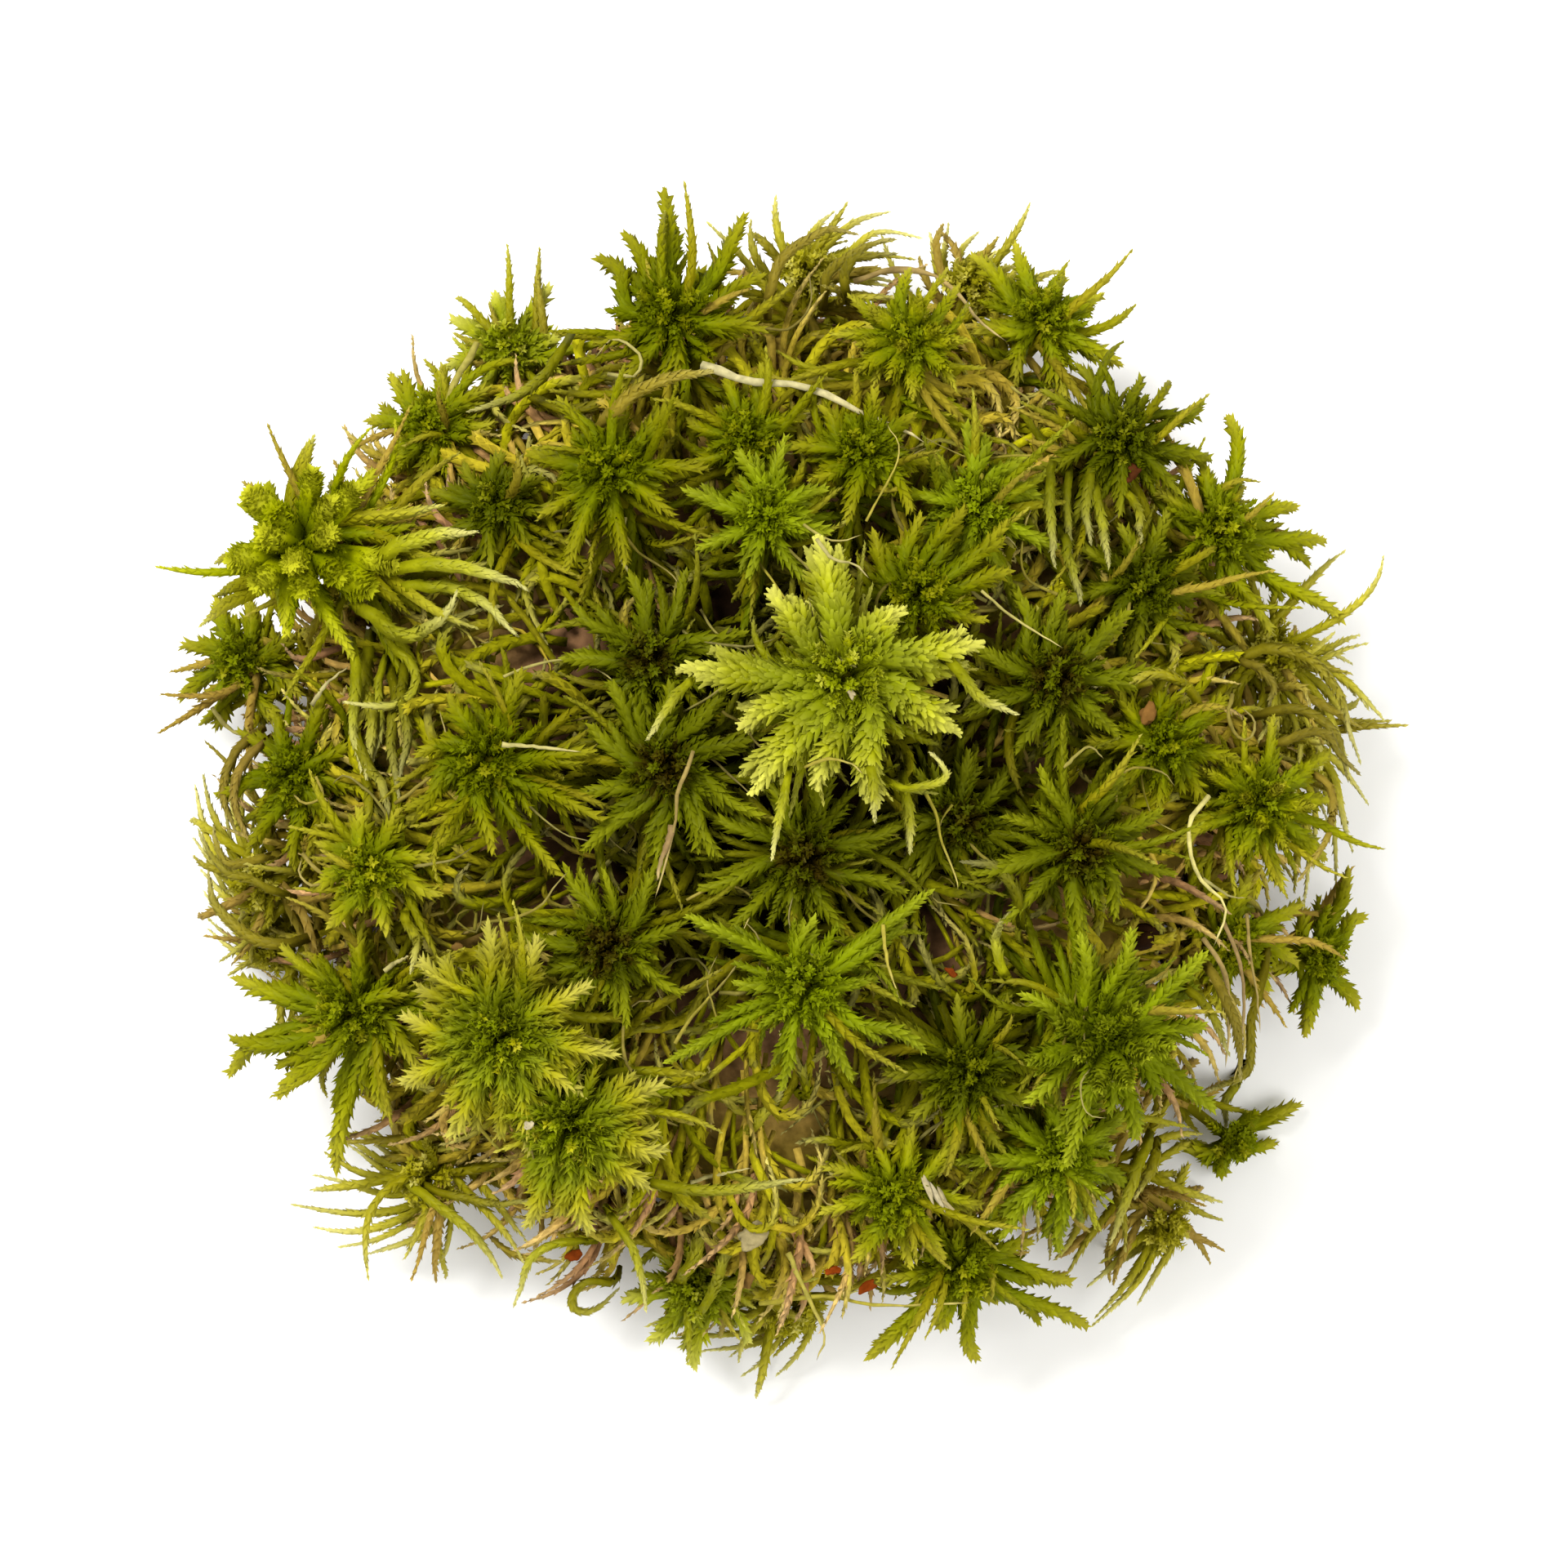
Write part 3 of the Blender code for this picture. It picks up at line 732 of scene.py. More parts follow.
class Tone(Enum):
    """The living moss, by how much light and age a head has had, which sets its colours; the sunlit,
    bright and shaded tones are partly painted light and shade, lighter and darker copies of the common
    leaf for whole heads.
    """

    # Moss leaf in full sun: yellow-green, with tips bleached to cream; partly painted light, a lighter
    # copy for the most brightly lit heads
    SUNLIT = LeafFinish("sunlit_moss_leaf", "#828c00", "#9ea200", "#c6c45e", glow=0.34, paleness=0.65)
    # Swollen leaf packed tight: an even, saturated yellow-green with hardly any pale tips
    KNOBBY = LeafFinish("knobby_moss_leaf", "#7a8600", "#929800", "#b4b428", glow=0.34, paleness=0.5)
    # Long loose leaf: green in the bud and soft straw-yellow at the tips, so the head looks feathery
    FLUFFY = LeafFinish("fluffy_moss_leaf", "#788400", "#9e9a04", "#b8b252", glow=0.34, paleness=0.5)
    # Well-lit leaf: warm mid green with straw tips; partly painted light, a lighter copy of the common
    # leaf
    BRIGHT = LeafFinish("bright_moss_leaf", "#727c02", "#888a02", "#a8a22e", paleness=0.5)
    # Wet young leaf: strong green with light green tips
    LUSH = LeafFinish("lush_moss_leaf", "#788602", "#6a7402", "#848c0e", paleness=0.6, edge="#aab232")
    # The common leaf: plain olive green
    FRESH = LeafFinish("fresh_moss_leaf", "#646e00", "#767800", "#8e8a1a")
    # Leaf grown under its neighbours: deep green and dull; partly painted shade, a darker copy of the
    # common leaf
    SHADED = LeafFinish("shaded_moss_leaf", "#4c5400", "#626600", "#84841c", paleness=0.55)
    # Leaf round a brown bud: dark green that starts from a brown point
    DARK_HEART = LeafFinish(
        "dark_hearted_moss_leaf", "#3a2e04", "#545c00", "#747808", paleness=0.5, heart_size=0.07,
        edge="#969a22")
    # Leaf pressed flat on its branch: an even pale yellow, smooth as a cord
    SMOOTH = LeafFinish("smooth_moss_branch", "#9a940e", "#b8b036", "#d2ce8c", paleness=0.3)
    # The same on a limp branch: greener at its root, pale at its tip
    TRAILING = LeafFinish("trailing_moss_branch", "#8c8e0a", "#b0b02c", "#ccc884", paleness=0.3)


class Wood(Enum):
    """The dead stems and the litter."""

    # Dead stem: olive while fresh, then straw and rust, and near black where it has rotted
    THATCH = DeadFinish("dead_moss_stem", (
        (0.0, "#7a7a04"), (0.12, "#94900c"), (0.28, "#a29026"), (0.5, "#ac8e46"), (0.75, "#ac805a"),
        (1.0, "#3c2610")))
    # Strand dried in the sun: matt bone and straw, browner with age
    BLEACHED = DeadFinish("bleached_moss_strand", (
        (0.0, "#aea67c"), (0.12, "#aaa264"), (0.25, "#a09638"), (0.5, "#8e7c48"), (1.0, "#785c4a")))
    # Husks, bark and grit: matt, from bone over rust red to black
    LITTER = DeadFinish("moss_litter", (
        (0.0, "#a69c80"), (0.1, "#968a64"), (0.3, "#6c5228"), (0.5, "#80380c"), (0.75, "#38200f"),
        (1.0, "#0d0a06")))


# The plants


class Plant:
    """The head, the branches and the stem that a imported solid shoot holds.

    Its limbs are the middles of its branches from the bud to the tip, in the order of their bearings,
    and its spread is the usual distance from the middle of the head to a branch's tip.
    """

    WELDED = 1e-6  # corners closer than this, in metres, are one
    TIP_EDGES = 5  # the most edges that meet at a limb's tip
    SHARP = math.radians(230)  # the angles round a tip's corner add up to less than this
    ICOSAHEDRON_RING = 0.4472  # height of its upper ring of corners, in radii

    def __init__(self, node: bpy.types.Object) -> None:
        """Reads a shoot.

        Args:
            node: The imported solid.
        """
        bm = bmesh.new()
        bm.from_mesh(node.data)
        bmesh.ops.remove_doubles(bm, verts=bm.verts, dist=self.WELDED)
        tips = [vert for vert in bm.verts if self.is_tip(vert)]
        stem = min(tips, key=lambda tip: (Vector(HEART) * MM - tip.co).length)
        rest = [tip for tip in tips if tip is not stem]
        crown = [tip for tip in rest if len(self.sections(tip)) == 1 and len(tip.link_edges) == 3]
        rings = [set(self.sections(tip)[0]) for tip in crown]
        top = set.intersection(*rings).pop()
        shoulder = self.middle(set.union(*rings) - {top})
        upward = self.place(top) - shoulder
        self.name = node.name
        self.axis = unit(upward)
        self.radius = float(np.linalg.norm(upward)) / (1 - self.ICOSAHEDRON_RING)
        self.centre = self.place(top) - self.axis * self.radius
        self.stem_end = self.place(stem)
        limbs = [self.limb(tip) for tip in rest if len(self.sections(tip)) > 1]
        self.limbs = sorted(limbs, key=lambda path: math.atan2(*(path[-1] - self.centre)[1::-1]))
        self.spread = float(np.median([np.linalg.norm(path[-1] - self.centre) for path in limbs]))
        bm.free()

    @classmethod
    def is_tip(cls, vert: bmesh.types.BMVert) -> bool:
        """True for the point at the end of a limb."""
        edges, angles = len(vert.link_edges), (loop.calc_angle() for loop in vert.link_loops)
        return edges == 3 or edges <= cls.TIP_EDGES and sum(angles) < cls.SHARP

    @staticmethod
    def place(vert: bmesh.types.BMVert) -> Array:
        """A corner's place in millimetres."""
        return np.array(vert.co[:]) / MM

    @classmethod
    def middle(cls, verts: set[bmesh.types.BMVert]) -> Array:
        """The middle of some corners, in millimetres."""
        return np.mean([cls.place(vert) for vert in verts], axis=0)

    @staticmethod
    def sections(tip: bmesh.types.BMVert) -> list[set[bmesh.types.BMVert]]:
        """Follows a limb from its tip down to the bud.

        Args:
            tip: The point at its end.

        Returns:
            Its rings of corners, for as long as each has as many as the last.
        """
        ring = {edge.other_vert(tip) for edge in tip.link_edges}
        seen, rings = {tip} | ring, [ring]
        while True:
            beyond = {edge.other_vert(vert) for vert in rings[-1] for edge in vert.link_edges} - seen
            if len(beyond) != len(ring):
                return rings
            rings.append(beyond)
            seen |= beyond

    def limb(self, tip: bmesh.types.BMVert) -> Array:
        """The middle of the limb that ends at a tip, from the bud out."""
        return np.array([self.middle(ring) for ring in reversed(self.sections(tip))] + [self.place(tip)])


@dataclass(frozen=True)
class Habit:
    """How a plant's branches are grown and clothed.

    Attributes:
        tone: The head's colours.
        ray: Clothing of the long branches of the star.
        bud: Clothing of the young branches on the bud.
        knob: Clothing of the stout upright branches on the bud, where the plant has such.
        fascicle: Branches that grow together in each ray.
        fan: Least and most slope of the side branches away from their ray.
        sizes: Least and most length of the side branches, as a share of their ray's.
        curl: How far a ray's tip bends clockwise, seen from above, as a share of its reach.
        smooth_from: Rays that reach further than this are clothed as hanging branches are.
        bushy: How many young branches there are, where 1 is usual.
        skirt: How many hanging branches there are, where 1 is usual.
    """

    tone: Tone
    ray: Clothing
    bud: Clothing
    knob: Clothing
    fascicle: int = 2
    fan: tuple[float, float] = (0.07, 0.16)
    sizes: tuple[float, float] = (0.55, 0.86)
    curl: float = 0.0
    smooth_from: float = 100.0
    bushy: float = 1.0
    skirt: float = 1.0


RAY = Clothing(
    core=0.44, leaf=1.1, slender=0.46, spacing=0.068, spread=(8, 15, 15), unrest=8, shrink=0.2, blunt=4)
FLUFFY_RAY = replace(RAY, core=0.34, leaf=1.5, slender=0.3, spacing=0.055, spread=(12, 24, 20))
HERO_RAY = replace(
    RAY, core=0.55, leaf=1.9, slender=0.34, spacing=0.05, spread=(10, 24, 14), shrink=0.4, blunt=3,
    segments=6)
BUD = Clothing(
    core=0.3, leaf=0.85, slender=0.5, spacing=0.068, spread=(10, 18, 20), shrink=0.2, blunt=5, sides=3)
GRAIN = Clothing(
    core=0.28, leaf=0.5, slender=0.6, spacing=0.05, spread=(25, 40, 60), unrest=12, shrink=0.1, blunt=8,
    sides=3)
KNOB = Clothing(
    core=0.5, leaf=0.85, slender=0.5, spacing=0.034, spread=(10, 16, 10), shrink=0.2, blunt=7, sides=5)
HANGING = Clothing(
    core=0.36, leaf=0.95, slender=0.45, spacing=0.14, spread=(8, 13, 6), unrest=4, sides=3)
SMOOTH = replace(HANGING, core=0.5, spacing=0.08, spread=(7, 10, 5))

HEADS = {
    Tone.SUNLIT: ("crown_shoot", "rim_shoot_6", "rim_shoot_18"),
    Tone.KNOBBY: ("rim_shoot_7",),
    Tone.FLUFFY: ("outer_shoot_11", "outer_shoot_12"),
    Tone.BRIGHT: (
        "outer_shoot_16", "rim_shoot_2", "rim_shoot_3", "rim_shoot_5", "rim_shoot_8", "rim_shoot_10",
        "rim_shoot_12", "rim_shoot_13", "rim_shoot_14", "rim_shoot_15", "rim_shoot_16", "rim_shoot_17",
        "rim_shoot_19"),
    Tone.LUSH: ("inner_shoot_7", "outer_shoot_4", "outer_shoot_6", "outer_shoot_13", "outer_shoot_15"),
    Tone.SHADED: ("outer_shoot_1", "outer_shoot_14", "rim_shoot_4", "rim_shoot_9"),
    Tone.DARK_HEART: (
        "inner_shoot_2", "inner_shoot_3", "inner_shoot_4", "inner_shoot_5", "inner_shoot_6",
        "outer_shoot_7", "outer_shoot_10"),
}
TONES = {name: tone for tone, names in HEADS.items() for name in names}
# Where the tips of the stout upright branches are seen, in pixels of the reference.
KNOBS = {
    "rim_shoot_7": (
        (404, 655), (360, 691), (416, 706), (325, 655), (286, 686), (307, 605), (383, 580), (434, 600),
        (406, 616), (317, 716), (480, 690), (452, 722), (337, 627), (372, 722)),
    "rim_shoot_2": (
        (1125, 368), (1104, 424), (1058, 421), (1056, 450), (1070, 382), (1144, 405), (1163, 418),
        (1157, 450), (1117, 482), (1090, 458)),
    "rim_shoot_12": (
        (1524, 976), (1500, 932), (1602, 987), (1574, 1036), (1480, 945), (1566, 964), (1545, 1010)),
    "outer_shoot_13": (
        (1266, 1294), (1320, 1287), (1381, 1237), (1396, 1290), (1423, 1279), (1343, 1325), (1350, 1255),
        (1300, 1250), (1375, 1320)),
}


def habit_of(name: str) -> Habit:
    """How a plant grows.

    Args:
        name: The shoot's name.

    Returns:
        Its habit: its own where it is picked out below, or else the common one.
    """
    tone = TONES.get(name, Tone.SMOOTH if name.startswith("fringe") else Tone.FRESH)
    rng = seeded(name)
    core, leaf, slender = rng.uniform(0.38, 0.5), rng.uniform(1.0, 1.3), rng.uniform(0.4, 0.5)
    ray = replace(RAY, core=core, leaf=leaf, slender=slender)
    habit = Habit(tone, ray, BUD, replace(KNOB, core=0.42), bushy=rng.uniform(0.8, 1.2))
    if name == "crown_shoot":
        return replace(habit, ray=HERO_RAY, bushy=1.2, fascicle=4, fan=(0.06, 0.15), sizes=(0.66, 0.94))
    if name in ("outer_shoot_11", "outer_shoot_12"):
        bud = replace(BUD, leaf=1.2, slender=0.36)
        return replace(habit, ray=FLUFFY_RAY, bud=bud, bushy=2.4, fascicle=4, fan=(0.12, 0.3))
    if name == "outer_shoot_13":
        ray = replace(RAY, core=0.5, spread=(10, 26, 26))
        knob = replace(KNOB, core=0.62, leaf=1.1, spread=(10, 20, 22))
        return replace(habit, ray=ray, knob=knob, bushy=0.8, fan=(0.12, 0.3))
    if name == "rim_shoot_2":
        return replace(habit, ray=replace(SMOOTH, core=0.44, spread=(10, 16, 12)), knob=KNOB)
    if name.startswith("fringe"):
        ray = replace(SMOOTH, core=0.3, leaf=0.9)
        return replace(habit, ray=ray, bushy=0.15, curl=0.6, fan=(0.2, 0.5), sizes=(0.6, 1.0))
    if name == "rim_shoot_7":
        knob = replace(
            KNOB, core=0.88, leaf=0.9, slender=0.6, spacing=0.022, spread=(8, 14, 45), sides=6)
        return replace(habit, knob=knob, bushy=0.35, smooth_from=8.0)
    if name in ("rim_shoot_15", "rim_shoot_19"):
        return replace(habit, ray=replace(RAY, core=0.5), fascicle=1, bushy=0.7, skirt=0.3)
    return habit


@dataclass
class Shoot:
    """One living plant: its star of rays, its bud, its stem and its hanging branches."""

    plant: Plant
    mound: "Mound"
    ray_points: int = 11
    ray_root: float = 0.35  # where a ray starts between the head's middle and the bud's surface
    waver: float = 0.035  # how far a ray strays from its line, as a share of its reach
    side_lift: tuple[float, float] = (-0.14, 0.1)  # slope of the side branches up from their ray
    side_shade: float = 0.25  # how much less light they get
    smooth_age: float = 0.75
    smooth_radius: float = 0.62  # of the rays that are clothed smoothly, as their age is
    bud_branches: int = 24
    bud_points: int = 6
    bud_tilt: tuple[float, float] = (30, 70)  # angle from the axis, and how much more at the rays
    bud_unrest: float = 0.09
    bud_lengths: tuple[float, float] = (0.14, 0.42)  # in spreads, and how much more at the rays
    grain_count: int = 22
    grain_points: int = 4
    grain_tilt: tuple[float, float] = (4, 80)  # angle from the axis, and how much more around it
    turn_unrest: float = 0.2  # how far a young branch may be off its place round the bud, in radians
    shortest: float = 0.6  # what is added to the length of every young branch
    wander: float = 0.3
    stem_radius: float = 0.42
    stem_sides: int = 6
    stem_points: int = 6
    hanging_count: int = 30  # on a common stem
    hanging_points: int = 10
    hanging_from: tuple[float, float] = (0.1, 0.62)  # where on the stem they start, from the head down
    hanging_rise: tuple[float, float] = (-0.1, 0.75)  # how steeply they set out
    hanging_sag: tuple[float, float] = (0.8, 3.0)  # how strongly they turn down
    hanging_wander: float = 0.9
    knob_dome: float = 0.63  # radius of the dome that the stout branches' tips lie on, in spreads
    knob_least: float = 0.35  # their least height on it, as a share of its radius, squared
    habit: Habit = field(init=False)
    pile: Pile = field(init=False)
    rng: Rng = field(init=False)

    def __post_init__(self) -> None:
        """Prepares to clothe the plant."""
        self.habit = habit_of(self.plant.name)
        self.pile = Pile(f"{self.plant.name}_leaves")
        self.rng = self.pile.rng

    def strands(
        self, points: Array, age: Array | float = 0.0, light: Array | float = 1.0,
        ripe: Array | float = 1.0
    ) -> Strands:
        """Centrelines kept off the mound and the table, with one value of each mark or one for each."""
        marks = (np.broadcast_to(mark, len(points)).copy() for mark in (age, light, ripe))
        return Strands(self.mound.kept_outside(points, FLOOR_GAP), *marks)

    def rays(self) -> Strands:
        """The long branches along the solid's own, each with shorter ones at its sides.

        Returns:
            All of them, a ray before its side branches.
        """
        plant, rng, habit = self.plant, self.rng, self.habit
        share = np.linspace(0, 1, self.ray_points)[:, None]
        paths, light, ripe = [], [], []
        for limb in plant.limbs:
            root = plant.centre + (limb[0] - plant.centre) * self.ray_root
            path = smooth_path(np.vstack([root, limb[1:]]), self.ray_points)
            reach = np.linalg.norm(path[-1] - path[0])
            across = unit(np.cross(path[-1] - path[0], plant.axis))
            for side in range(habit.fascicle):
                fan, size, lift = 0.0, 1.0, 0.0
                if side:
                    fan = rng.uniform(*habit.fan) * (1 if side % 2 else -1)
                    size = rng.uniform(*habit.sizes)
                    lift = rng.uniform(*self.side_lift)
                waver = rng.normal(0, self.waver * reach, 3)
                waver = waver * np.sin(share * math.pi * rng.uniform(1, 2))
                spray = share**1.4 * reach * (fan * across + lift * plant.axis)
                spray = spray + share**2 * reach * habit.curl * across
                paths.append(path[0] + (path - path[0] + spray + waver) * size)
                # painted light: the side branches get less, as painted shade, and those that lift upwards
                # get more
                light.append(1.0 - self.side_shade * (side > 0) + lift)
                ripe.append(size)
        return self.strands(np.array(paths), light=np.array(light), ripe=np.array(ripe))

    def clothe_rays(self) -> None:
        """Clothes the star, its longest branches smoothly where the plant has such."""
        rays = self.rays()
        smooth = rays.lengths > self.habit.smooth_from
        self.pile.clothe(rays.only(~smooth), self.habit.ray)
        rays.age[smooth] = self.smooth_age
        self.pile.clothe(rays.only(smooth), replace(SMOOTH, core=self.smooth_radius))

    def turned_out(self, tilt: Array, turn: Array) -> Array:
        """Directions out of the head.

        Args:
            tilt: Their angles from its axis.
            turn: Their angles round it.

        Returns:
            Vectors of length one.
        """
        across = unit(np.cross(self.plant.axis, (0.3, 1.0, 0.1)))
        other = np.cross(self.plant.axis, across)
        level = np.cos(turn)[:, None] * across + np.sin(turn)[:, None] * other
        return np.cos(tilt)[:, None] * self.plant.axis + np.sin(tilt)[:, None] * level

    def grains(self) -> Strands:
        """The youngest branches, packed into a low dome in the middle of the head.

        Returns:
            All of them, the middle ones first.
        """
        plant, rng, count = self.plant, self.rng, self.grain_count
        order = (np.arange(count) + 0.5) / count
        tilt = np.radians(self.grain_tilt[0] + self.grain_tilt[1] * order**0.55)
        turn = np.arange(count) * GOLDEN_TURN + rng.normal(0, self.turn_unrest, count)
        headings = self.turned_out(tilt, turn)
        starts = plant.centre + headings * plant.radius * 0.5
        lengths = (0.4 * plant.radius + self.shortest) * rng.uniform(0.8, 1.25, count)
        points = growth(starts, headings, lengths, np.zeros(count), self.wander, self.grain_points, rng)
        ripest = 0.25 if self.habit.tone is Tone.DARK_HEART else 0.8
        light, ripe = rng.uniform(0.8, 1.1, count), rng.uniform(0.1, ripest, count)
        return self.strands(points, light=light, ripe=ripe)

    def young_branches(self) -> Strands:
        """The short branches that crowd the bud, steeper towards its middle.

        Returns:
            All of them, the middle ones first.
        """
        plant, rng = self.plant, self.rng
        count = int(self.bud_branches * self.habit.bushy * (0.6 + plant.spread / 14))
        order = (np.arange(count) + 0.5) / count
        tilt = np.radians(self.bud_tilt[0] + self.bud_tilt[1] * order**0.8)
        tilt = tilt + rng.normal(0, self.bud_unrest, count)
        turn = np.arange(count) * GOLDEN_TURN + rng.normal(0, self.turn_unrest, count)
        headings = self.turned_out(tilt, turn)
        lengths = plant.spread * (self.bud_lengths[0] + self.bud_lengths[1] * order)
        lengths = lengths * rng.uniform(0.75, 1.2, count) + self.shortest
        starts = plant.centre + headings * plant.radius * 0.25 - plant.axis * 0.2 * plant.radius
        points = growth(starts, headings, lengths, 0.7 * order - 0.2, self.wander, self.bud_points, rng)
        # painted light, least in the middle of the bud as painted shade there and more outwards
        return self.strands(points, light=0.8 + 0.18 * order, ripe=0.2 + 0.45 * order)

    def knobs(self) -> Strands:
        """The stout branches that stand up round the bud, to the places picked out for their tips.

        Returns:
            One for each place.
        """
        plant = self.plant
        aside = np.array([at_pixel(*pixel) for pixel in KNOBS[plant.name]]) - plant.centre[:2]
        dome = self.knob_dome * plant.spread
        rise = np.sqrt(np.maximum(dome**2 - dot(aside, aside), self.knob_least * dome**2))
        reach = np.concatenate([aside, rise], axis=1)
        share = np.linspace(0.1, 1, self.bud_points)[None, :, None] ** np.array((0.8, 0.8, 1.0))
        ripe = self.rng.uniform(0.55, 1.0, len(reach))
        return self.strands(plant.centre + reach[:, None] * share, light=1.0, ripe=ripe)

    def stem(self) -> Strands:
        """The stem, down into the mound."""
        ends = self.plant.centre, self.plant.stem_end
        route = np.array([ends[0], (ends[0] + ends[1]) / 2, ends[1]])
        path = smooth_path(route, self.stem_points)
        # the stem gets half the painted light, as painted shade under the head
        return Strands(path[None], np.array([0.8]), np.array([0.5]), np.array([1.0]))

    def hanging_branches(self) -> Strands:
        """The older branches that arch out from the stem and hang over the mound.

        Returns:
            All of them. They are drier near the rim, where painted light makes them lighter, and painted
            shade makes them darker the lower on the stem they start.
        """
        plant, rng = self.plant, self.rng
        count = int(self.hanging_count * self.habit.skirt * (0.5 + plant.spread / 11))
        down = rng.uniform(*self.hanging_from, count)
        starts = plant.centre + (plant.stem_end - plant.centre) * down[:, None]
        turn = np.arange(count) * GOLDEN_TURN + rng.normal(0, 0.4, count)
        level = np.stack([np.cos(turn), np.sin(turn), rng.uniform(*self.hanging_rise, count)], axis=1)
        headings = unit(level) + 0.35 * plant.axis
        lengths = (4.6 + 0.6 * plant.spread) * rng.uniform(0.6, 1.35, count)
        sag = rng.uniform(*self.hanging_sag, count)
        points = growth(starts, headings, lengths, sag, self.hanging_wander, self.hanging_points, rng)
        rim = outness(points)
        # painted light: darker the lower on the stem they start, as painted shade under the head, and
        # lighter near the rim
        light = 0.66 - 0.5 * down + 0.64 * rim**2
        age = rng.uniform(0.0, 1.0, count) ** 1.5 * (1 + 0.8 * rim**4)
        return self.strands(points, age=age, light=light, ripe=0.85)

    def build(self, material: bpy.types.Material) -> bpy.types.Object:
        """Makes the shoot's piece, which stands for its solid.

        Args:
            material: The head's finish.

        Returns:
            The piece.
        """
        self.clothe_rays()
        self.pile.clothe(self.young_branches(), self.habit.bud)
        self.pile.clothe(self.grains(), GRAIN)
        if self.plant.name in KNOBS:
            self.pile.clothe(self.knobs(), self.habit.knob)
        stem = self.stem()
        self.pile.add_cores(stem, np.full((1, self.stem_points), self.stem_radius), self.stem_sides)
        self.pile.clothe(self.hanging_branches(), HANGING)
        piece = self.pile.build(material)
        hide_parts(self.plant.name)
        return piece


# The dead stems


class Mound:
    """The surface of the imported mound, by how far it is from its heart in any direction."""

    ROWS, COLUMNS = 61, 120
    FAR = 80.0
    SOCKET = 1.6  # rays this far to each side miss a socket
    SUNK = 1.2  # how deep in the surface a strand may lie

    def __init__(self, node: bpy.types.Object) -> None:
        """Measures the solid.

        Args:
            node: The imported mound.
        """
        corners = [vert.co / MM for vert in node.data.vertices]
        tree = BVHTree.FromPolygons(corners, [tuple(face.vertices) for face in node.data.polygons])
        self.table = np.empty((self.ROWS, self.COLUMNS))
        for row, tilt in enumerate(np.linspace(-math.pi / 2, math.pi / 2, self.ROWS)):
            for column in range(self.COLUMNS):
                turn, level = math.tau * column / self.COLUMNS, math.cos(tilt)
                way = Vector((level * math.cos(turn), level * math.sin(turn), math.sin(tilt)))
                across = way.orthogonal().normalized()
                other = way.cross(across)
                reaches = [
                    self.distance(tree, way, aside * self.SOCKET)
                    for aside in (Vector((0, 0, 0)), across, other, -across, -other)
                ]
                self.table[row, column] = max(reaches)

    def distance(self, tree: BVHTree, way: Vector, aside: Vector) -> float:
        """Measures how far out the surface is.

        Args:
            tree: The surface.
            way: The direction from the heart.
            aside: How far to one side it is measured.

        Returns:
            The distance, or 0 where there is no surface.
        """
        start = Vector(HEART) + way * self.FAR + aside
        hit = tree.ray_cast(start, -way)
        return 0.0 if hit[3] is None else self.FAR - hit[3]

    def reach(self, ways: Array) -> Array:
        """How far the surface is from the heart along each direction.

        Args:
            ways: Directions of length one, in the last axis.

        Returns:
            Distances, with that axis kept at a length of one.
        """
        tilt = np.arcsin(np.clip(ways[..., 2], -1, 1))
        turn = np.arctan2(ways[..., 1], ways[..., 0]) % math.tau
        row = (tilt / math.pi + 0.5) * (self.ROWS - 1)
        column = turn / math.tau * self.COLUMNS
        r0 = np.minimum(row.astype(int), self.ROWS - 2)
        c0 = column.astype(int) % self.COLUMNS
        c1 = (c0 + 1) % self.COLUMNS
        fr, fc = row - r0, column - column.astype(int)
        low = self.table[r0, c0] * (1 - fc) + self.table[r0, c1] * fc
        high = self.table[r0 + 1, c0] * (1 - fc) + self.table[r0 + 1, c1] * fc
        return (low * (1 - fr) + high * fr)[..., None]

    def kept_outside(self, points: Array, gap: float) -> Array:
        """Moves points that are in the mound, or under the table, out to its surface.

        Args:
            points: Places, with coordinates in the last axis.
            gap: How far off the surface they then are.

        Returns:
            The points. Those less than halfway out from the heart stay where they are.
        """
        away = points - HEART
        distance = np.linalg.norm(away, axis=-1, keepdims=True)
        way = away / np.maximum(distance, 1e-9)
        outside = np.maximum(distance, self.reach(way) + gap - self.SUNK)
        points = np.where(distance > 0.5 * self.reach(way), HEART + way * outside, points)
        points[..., 2] = np.maximum(points[..., 2], gap)
        return points


@dataclass(frozen=True)
class Layer:
    """A layer of strands that follow the mound's surface.

    Attributes:
        count: How many there are.
        heights: Lowest and highest that they begin, from -1, right under the heart, to 1, right over it.
        lengths: Least and most length.
        lifts: Least and most that their middles stand off the surface.
        pull: How strongly they run downhill.
        curl: How strongly they curl to either side.
        age: How dead they are at the table.
        fade: Height over which that falls by one.
        age_unrest: How far it may be off.
        youngest: The least age.
        light: How much painted light they get in the middle of the clump, at the table.
        rim_light: How much more they get at the rim.
        light_rise: Height over which it rises by one.
        light_unrest: How far it may be off.
        lightest: The most painted light.
        ripe: How far they get to the tips' colour.
    """

    count: int
    heights: tuple[float, float]
    lengths: tuple[float, float]
    lifts: tuple[float, float]
    pull: float
    curl: float
    age: float = 0.0
    fade: float = math.inf
    age_unrest: float = 0.0
    youngest: float = 0.0
    light: float = 0.0
    rim_light: float = 0.0
    light_rise: float = math.inf
    light_unrest: float = 0.0
    lightest: float = 1.0
    ripe: float = 1.0


